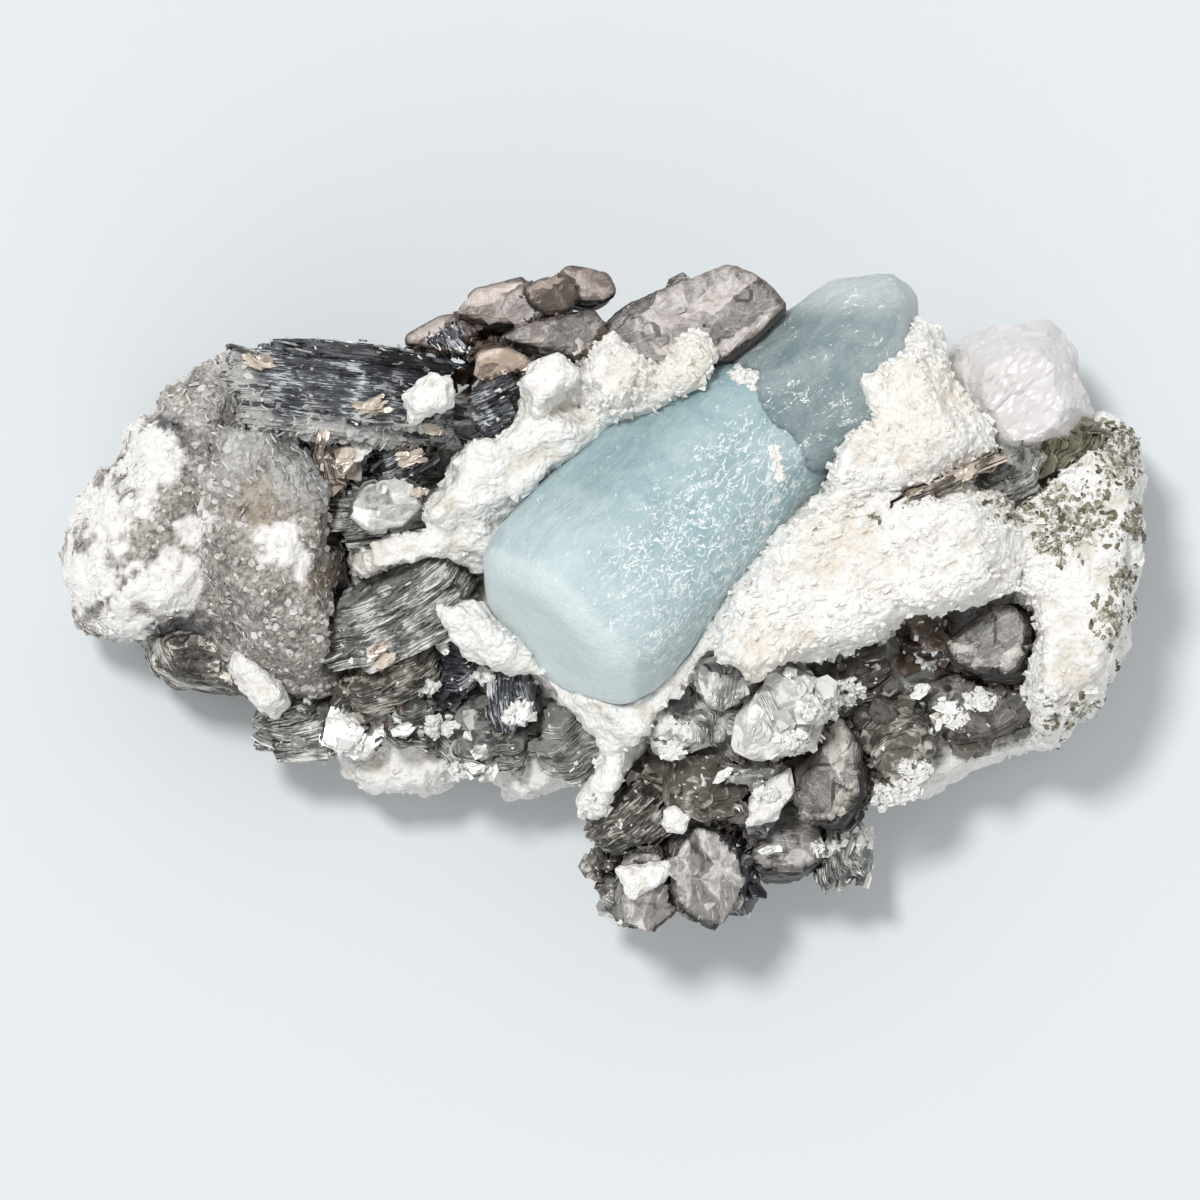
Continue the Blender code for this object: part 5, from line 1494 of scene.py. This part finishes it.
class SPECIMEN_OT_mica_flakes(bpy.types.Operator):
    """Scatters the loose mica flakes and albite crumbs that lie between the books"""

    bl_idname = "specimen.mica_flakes"
    bl_label = "Loose flakes and crumbs"

    def execute(self, context):
        rng = np.random.default_rng(LOOSE_SEED)
        flakes, shards, crumbs = {}, {}, []
        for item in STACKS:
            mesh = bpy.data.objects[item.node + "_sheets"].data
            single, piled = self.broken_off(mesh, item, rng)
            flakes.setdefault(item.finish, []).append(single)
            shards.setdefault(item.finish, []).append(piled)
            crumbs.append(scattered(mesh, CRUMBS_TRIED, rng, lambda p, n: n[:, 2] > 0.0))
        for finish in flakes:
            slot = SLOTS[next(item.node for item in STACKS if item.finish == finish)]
            self.flakes(finish, slot, *joined(flakes[finish]), rng)
            self.shards(finish, slot, *joined(shards[finish]), rng)
        self.dusty(rng)
        self.patches(rng)
        self.rubble_and_painted_gap_shade(rng)
        self.felt_on_book(rng)
        self.crumbs(crumbs, rng)
        return {"FINISHED"}

    @staticmethod
    def broken_off(mesh, item, rng):
        """What lies loose on one book, as places and up directions: single flakes, and the shards of
        piles that stand on some of their places."""
        up = axes_of(item.along, item.across)[2]
        lies_flat = up[2] > 0.35
        places = scattered(
            mesh, count_on(mesh, FLAKES_PER_MM2), rng, lambda p, n: (p[:, 2] > 3) & (n[:, 2] > -0.3)
        )[0]
        loose = 0.35 if lies_flat else 0.08
        rise = 0.3 if lies_flat else 0.06
        ups = unit(up + loose * stray(places, rng))
        foot, tilt = places[::PILE_EVERY], ups[::PILE_EVERY]
        tilt = unit(tilt + 0.7 * loose * stray(tilt, rng))
        pile = np.concatenate([foot + k * rise * tilt for k in range(PILE_HEIGHT)])
        return (places, ups), (pile, np.tile(tilt, (PILE_HEIGHT, 1)))

    @staticmethod
    def flakes(finish, slot, places, ups, rng):
        """Single loose flakes of one kind of mica."""
        runs = stray(places, rng)
        radii = 0.3 + 1.1 * rng.random(len(places)) ** 2.5
        mesh = plates("flakes_" + finish, places, ups, runs, radii, 0.1 + 0.06 * radii, rng, 5)
        show("mica_flakes_" + finish, mesh, [face_of(finish)])

    @staticmethod
    def shards(finish, slot, places, ups, rng):
        """Larger broken sheets of one kind of mica, in piles."""
        runs = rng.normal(0, 1, 3)
        radii = 0.7 + 1.7 * rng.random(len(places)) ** 2
        places = places + 0.15 * stray(places, rng)
        thick = np.full(len(places), 0.26)
        mesh = plates("shards_" + finish, places, ups, runs, radii, thick, rng)
        show("mica_shards_" + finish, mesh, [face_of(finish)])

    @staticmethod
    def dusty(rng):
        """Olive mica flakes in the albite, where it is dusty."""
        rock = bpy.data.objects["albite_matrix_rock"].data
        places, normals = scattered(
            rock, DUST_TRIED, rng, lambda p, n: (dust_on(p) > 0.3) & (n[:, 2] > -0.2)
        )
        ups = unit(normals + 0.6 * stray(places, rng))
        radii = 0.12 + 0.75 * rng.random(len(places)) ** 3
        runs = stray(places, rng)
        mesh = plates("dust_flakes", places, ups, runs, radii, 0.1 + 0.1 * radii, rng, 5)
        show("mica_dust_flakes", mesh, [face_of("olive")])

    @staticmethod
    def rubble_and_painted_gap_shade(rng):
        """Dark flakes wedged in the gaps between the books and the glassy crystals: loose flakes, and
        painted shade that darkens the gaps.
        """
        shells = [(item.node, "_sheets") for item in STACKS]
        shells += [(item.node, "_glassy") for item in CHUNKS]
        parts = []
        for node, ending in shells:
            places, normals = scattered(
                bpy.data.objects[node + ending].data, RUBBLE_TRIED, rng,
                lambda p, n: (p[:, 2] > 4) & (n[:, 2] > -0.3),
            )
            near = gap_to(places, neighbours_of(node)) < WEDGE_GAP
            parts.append((places[near], normals[near]))
        places, normals = joined(parts)
        fill = np.array(NOTCHES).repeat(NOTCH_FLAKES, axis=0)
        fill = fill + stray(fill, rng) * (1.3, 1, 2)
        places = np.concatenate([places + 0.2 * normals, fill])
        normals = np.concatenate([normals, np.tile((0.0, 0.0, 1.0), (len(fill), 1))])
        ups = unit(normals + 0.8 * stray(places, rng))
        radii = 0.25 + 0.7 * rng.random(len(places)) ** 2
        radii[-len(fill):] = NOTCH_RADIUS
        runs = stray(places, rng)
        mesh = plates("rubble_and_painted_gap_shade", places, ups, runs, radii, 0.12 + 0.12 * radii, rng, 5)
        # painted shade: the darkest mica, so that the gaps look dark
        show("mica_rubble", mesh, [face_of("brown")])

    @staticmethod
    def felt_on_book(rng):
        """Fine mica scales that lie over the lower left of the large book."""

        def keep(points, normals):
            """Picks the places under the felt, with a frayed border."""
            covered = book_felt(points) + 0.3 * rng.normal(0, 1, len(points)) > 0.5
            return covered & (normals[:, 2] > -0.2)

        book = bpy.data.objects["muscovite_book_large_sheets"].data
        places, normals = scattered(book, BOOK_SCALES_TRIED, rng, keep)
        ups = unit(normals + (0.5, 0.3, 0.3) + 0.35 * stray(places, rng))
        runs = MASS_FLOW + 0.3 * stray(places, rng)
        radii = 0.3 + 0.8 * rng.random(len(places)) ** 2
        mesh = plates("felt_on_book", places + 0.1 * normals, ups, runs, radii, 0.2 * radii, rng)
        felt_zones(mesh, points_of(mesh))
        felt = bpy.data.objects["fine_mica_scales"].data.materials[0]
        show("fine_mica_on_book", mesh, [felt])

    @staticmethod
    def crumbs(parts, rng):
        """Albite crumbs that lie singly on the books, and grains that cling to them in clumps."""
        tree = cad_tree(*frame["nodes"])
        loose = sum(len(places) for places, _ in parts)
        clinging = []
        for spot in CLUMPS:
            clinging += dropped(tree, spot, int(CLUMP_GRAINS * spot[2]), 1.6, rng)
        raised = [place + 0.25 * normal for place, normal in clinging]
        parts = parts + [(np.array(raised), np.array([normal for _, normal in clinging]))]
        places, normals = joined(parts)
        size = 0.25 + 0.9 * rng.random((len(places), 3)) ** 4
        size[loose:] = 0.3 + 1.2 * rng.random((len(places) - loose, 3)) ** 2
        spread = stray(places, rng)
        away = np.where(np.arange(len(places)) < loose, 0.5, 1.6)[:, None]
        mesh = blades("albite_crumbs", places, unit(normals + away * spread), spread, size, rng)
        on_albite("albite_crumbs", mesh)

    @staticmethod
    def patches(rng):
        """The clusters of tan and of bright flakes that stand out among the books."""
        tree = cad_tree(*frame["nodes"])
        for kind, clusters in PATCHES.items():
            places, runs = [], []
            for x, y, reach, heading in clusters:
                run = Vector((math.cos(math.radians(heading)), math.sin(math.radians(heading)), 0))
                aside = Vector((-run.y, run.x, 0))
                for _ in range(int(5 + 7 * reach)):
                    start = run * reach * rng.uniform(-0.6, 0.6) + aside * 0.2 * reach * rng.normal()
                    places.append(tree.ray_cast(Vector((x, y, ABOVE)) + start, DOWN)[0])
                    runs.append(run)
            places, runs = np.array(places), np.array(runs)
            places[:, 2] += 0.3 + 0.3 * rng.random(len(places))
            ups = unit((0, 0, 1) + 0.16 * stray(places, rng))
            runs = runs + 0.12 * stray(places, rng)
            radii = 0.6 + 0.9 * rng.random(len(places))
            thick = np.full(len(places), 0.15)
            mesh = plates("patches", places, ups, runs, radii, thick, rng, narrow=0.42)
            show("mica_patches_" + kind, mesh, [face_of(kind)])


class SPECIMEN_OT_beryl(bpy.types.Operator):
    """Builds the two aquamarine prisms and the albite that grew on them"""

    bl_idname = "specimen.beryl"
    bl_label = "Aquamarine crystals"

    def execute(self, context):
        looks = context.scene.specimen_beryl
        front, rear = PRISMS
        fleck = solid(looks.fleck)
        mesh, local = prism_mesh(front, looks)
        stamp(mesh, "flecks", fleck_cover(local))
        stamp(mesh, "streaks", self.streaks(local))
        # painted light: the end face, which turns away from the key light, is painted paler; the crystal
        # is also paler towards its free end
        ending = ramp(normals_of(mesh) @ prism_axes(front)[0], 0.1, 0.7)
        nearing = 0.45 * (1 - ramp(-local[:, 0] + 1.5 * cloud(local, 5.0, 44), 3, 22))
        stamp(mesh, "pale", np.maximum(ending, nearing))
        tree = mesh_tree(mesh)
        material = beryl_material(FRONT_BERYL, solid(looks.front), fleck)
        show("aquamarine_front", mesh, [material], [front.node], smooth=True)
        mesh, local = prism_mesh(rear, looks)
        stamp(mesh, "flecks", 0.35 * ramp(cloud(local, 3.0, 43), 0.1, 0.7))
        stamp(mesh, "streaks", np.full(len(local), 0.8))
        points = points_of(mesh)
        stamp(mesh, "pale", np.maximum(ramp(points[:, 1], 38, 43), ramp(points[:, 0], 39, 45)))
        material = beryl_material(REAR_BERYL, solid(looks.rear), fleck)
        show("aquamarine_rear", mesh, [material], [rear.node], smooth=True)
        self.crust(tree)
        self.needle(tree)
        return {"FINISHED"}

    @staticmethod
    def needle(tree):
        """One short black schorl needle, grown into the face of the front crystal."""
        place = tree.ray_cast(Vector((*NEEDLE, ABOVE)), DOWN)[0]
        # schorl is black tourmaline, grown as slim prisms, so it is opaque with a glassy gloss
        schorl, nodes = blank("Schorl_needle")
        shader = add(nodes, "BsdfPrincipled", {
            "Base Color": linear("#1B1C1F"), "Roughness": 0.3, "IOR": 1.64,
        })
        add(nodes, "OutputMaterial", {"Surface": shader})
        mesh = blades(
            "schorl_needle", np.array([place]), np.array([(0.45, -0.85, 0.2)]),
            np.array([(0, 0, 1.0)]), np.array([(1.4, 0.25, 0.25)]), np.random.default_rng(NEEDLE_SEED),
        )
        show("schorl_needle", mesh, [schorl])

    @staticmethod
    def streaks(local):
        """The darker growth lines: a band along the upper left edge, faint elsewhere."""
        edge = ramp(-local[:, 1], 5, 12)
        return np.clip(edge * ramp(-local[:, 0], 6, 14) + 0.15, 0, 1)

    @staticmethod
    def crust(tree):
        """Albite grains on the upper end of the front crystal, and the bar beside them."""
        rng = np.random.default_rng(CRUST_SEED)
        landed = []
        for in_plan, count in ((CRUST, CRUST_GRAINS), (BAR, BAR_GRAINS)):
            for spot in in_plan:
                landed += dropped(tree, spot, count, 1.0, rng)
        places, normals = (np.array(part) for part in zip(*landed))
        size = 0.35 + 0.6 * rng.random((len(places), 3))
        spread = stray(places, rng)
        mesh = blades("albite_crust", places, unit(normals + 0.4 * spread), spread, size, rng)
        on_albite("albite_crust", mesh)


# The small stones: each node, the width of the faces of its skin in millimetres, its relief and its
# material.
STONES = (
    ("quartz_crystal", 0.6, quartz_relief, QUARTZ),
    ("dark_mica_knob", 0.5, knob_relief, "Muscovite_grey_split_edges"),
    ("albite_vein", 0.4, pebble_relief, ALBITE),
    ("albite_chip_large", 0.4, pebble_relief, ALBITE),
    ("albite_chip_upper", 0.4, pebble_relief, ALBITE),
    ("albite_flake", 0.4, pebble_relief, ALBITE),
    ("albite_crystal_on_book", 0.4, pebble_relief, ALBITE),
    ("albite_crystal_notch", 0.4, pebble_relief, ALBITE),
)


class SPECIMEN_OT_small_stones(bpy.types.Operator):
    """Builds the quartz, the dark knob and the small albite crystals"""

    bl_idname = "specimen.small_stones"
    bl_label = "Small crystals"

    def execute(self, context):
        quartz_material(context.scene.specimen_quartz)
        for node, face, relief, material in STONES:
            mesh = fine_skin(node, face)
            points = grow(mesh, neighbours_of(node), relief, fill=0.25, reach=1.2)
            stamp(mesh, "sheet_mm", points * (0.6, 1, 1.4))
            stamp(mesh, "tone", np.full(len(points), 0.3))
            rock_zones(mesh, points)
            show(node + "_stone", mesh, [bpy.data.materials[material]], [node])
        return {"FINISHED"}


VIEW_HEIGHT = 2500.0  # a long lens, so that the specimen shows almost without perspective
VIEW_LEVEL = 20.0  # the level at which the view is as wide as its setting says
SENSOR = 36.0  # the width of the camera's sensor, in millimetres
NEAREST, FARTHEST = 0.05, 20.0  # what the camera shows, in metres from it
KEY_TILT = (0.224, -0.308, -1.0)  # the way the key light travels
KEY_SPREAD = 9.0  # degrees: how wide the key light looks, which softens the shadow's edge
FLOOR_REACH = 6000  # from the middle of the floor to each side, in millimetres


class SPECIMEN_OT_stage(bpy.types.Operator):
    """Lays the floor and sets the light and the camera"""

    bl_idname = "specimen.stage"
    bl_label = "Floor, light and camera"

    def execute(self, context):
        looks = context.scene.specimen_stage
        self.floor(looks)
        self.light(context.scene, looks)
        self.camera(context.scene, looks)
        return {"FINISHED"}

    @staticmethod
    def floor(looks):
        """One wide level sheet."""
        far = FLOOR_REACH
        corners = np.array([(-far, -far, 0), (far, -far, 0), (far, far, 0), (-far, far, 0)])
        mesh = mesh_of("floor", corners, [np.array([[0, 1, 2, 3]])])
        mesh.materials.append(floor_material(looks))
        floor = bpy.data.objects.new("floor", mesh)
        bpy.context.scene.collection.objects.link(floor)

    @staticmethod
    def light(scene, looks):
        """A large soft key light from the upper left, and an even white sky that fills the shadows."""
        sun = bpy.data.lights.new("key", "SUN")
        sun.energy = looks.key
        sun.angle = math.radians(KEY_SPREAD)
        key = bpy.data.objects.new("key", sun)
        key.rotation_mode = "QUATERNION"
        key.rotation_quaternion = Vector(KEY_TILT).to_track_quat("-Z", "Y")
        scene.collection.objects.link(key)
        world = bpy.data.worlds.new("studio")
        world.use_nodes = True
        tree = world.node_tree
        tree.nodes.clear()
        way = add(tree, "TexCoord").outputs["Generated"]
        parts = add(tree, "SeparateXYZ", {"Vector": way})
        dome = add(tree, "ValToRGB", {"Fac": parts.outputs["Z"]}, stops=(
            (0.0, grey(0.85)), (0.25, grey(0.95)), (0.6, grey(1.15)), (1.0, grey(0.9)),
        ))
        sky = add(tree, "Background", {"Color": dome, "Strength": looks.sky})
        add(tree, "OutputWorld", {"Surface": sky})
        scene.world = world
        scene.view_settings.view_transform = "Standard"

    @staticmethod
    def camera(scene, looks):
        """A camera that looks straight down on the specimen."""
        lens = bpy.data.cameras.new("camera")
        lens.sensor_width = SENSOR
        lens.lens = SENSOR * VIEW_HEIGHT * MM / looks.frame_width
        lens.clip_start, lens.clip_end = NEAREST, FARTHEST
        camera = bpy.data.objects.new("camera", lens)
        camera.location = (0, 0, (VIEW_HEIGHT + VIEW_LEVEL) * MM)
        scene.collection.objects.link(camera)
        scene.camera = camera


OPERATORS = (
    SPECIMEN_OT_stage,
    SPECIMEN_OT_albite_matrix,
    SPECIMEN_OT_albite_blades,
    SPECIMEN_OT_fine_mica,
    SPECIMEN_OT_mica_books,
    SPECIMEN_OT_mica_crystals,
    SPECIMEN_OT_mica_flakes,
    SPECIMEN_OT_beryl,
    SPECIMEN_OT_small_stones,
)
SETTINGS = {
    "specimen_beryl": SPECIMEN_PG_beryl,
    "specimen_albite": SPECIMEN_PG_albite,
    "specimen_mica": SPECIMEN_PG_mica,
    "specimen_quartz": SPECIMEN_PG_quartz,
    "specimen_stage": SPECIMEN_PG_stage,
}


class SPECIMEN_PT_panel(bpy.types.Panel):
    """Lists the settings and the steps of the specimen"""

    bl_idname = "SPECIMEN_PT_panel"
    bl_label = "Aquamarine specimen"
    bl_space_type = "VIEW_3D"
    bl_region_type = "UI"
    bl_category = "Specimen"

    def draw(self, context):
        """Lists the settings of each mineral, then the steps."""
        for name, group in SETTINGS.items():
            box = self.layout.box()
            box.label(text=name.replace("specimen_", "").capitalize())
            for setting in group.__annotations__:
                box.prop(getattr(context.scene, name), setting)
        for operator in OPERATORS:
            self.layout.operator(operator.bl_idname)


CLASSES = (*SETTINGS.values(), *OPERATORS, SPECIMEN_PT_panel)


def register():
    """Makes the settings, the steps and the panel known to Blender."""
    for group in CLASSES:
        bpy.utils.register_class(group)
    for name, group in SETTINGS.items():
        setattr(bpy.types.Scene, name, bpy.props.PointerProperty(type=group))


def unregister():
    """Takes them out again."""
    for name in SETTINGS:
        delattr(bpy.types.Scene, name)
    for group in reversed(CLASSES):
        bpy.utils.unregister_class(group)


def main():
    """Builds the whole scene, step by step."""
    register()
    for operator in OPERATORS:
        group, step = operator.bl_idname.split(".")
        getattr(getattr(bpy.ops, group), step)()


if __name__ == "__main__":
    main()
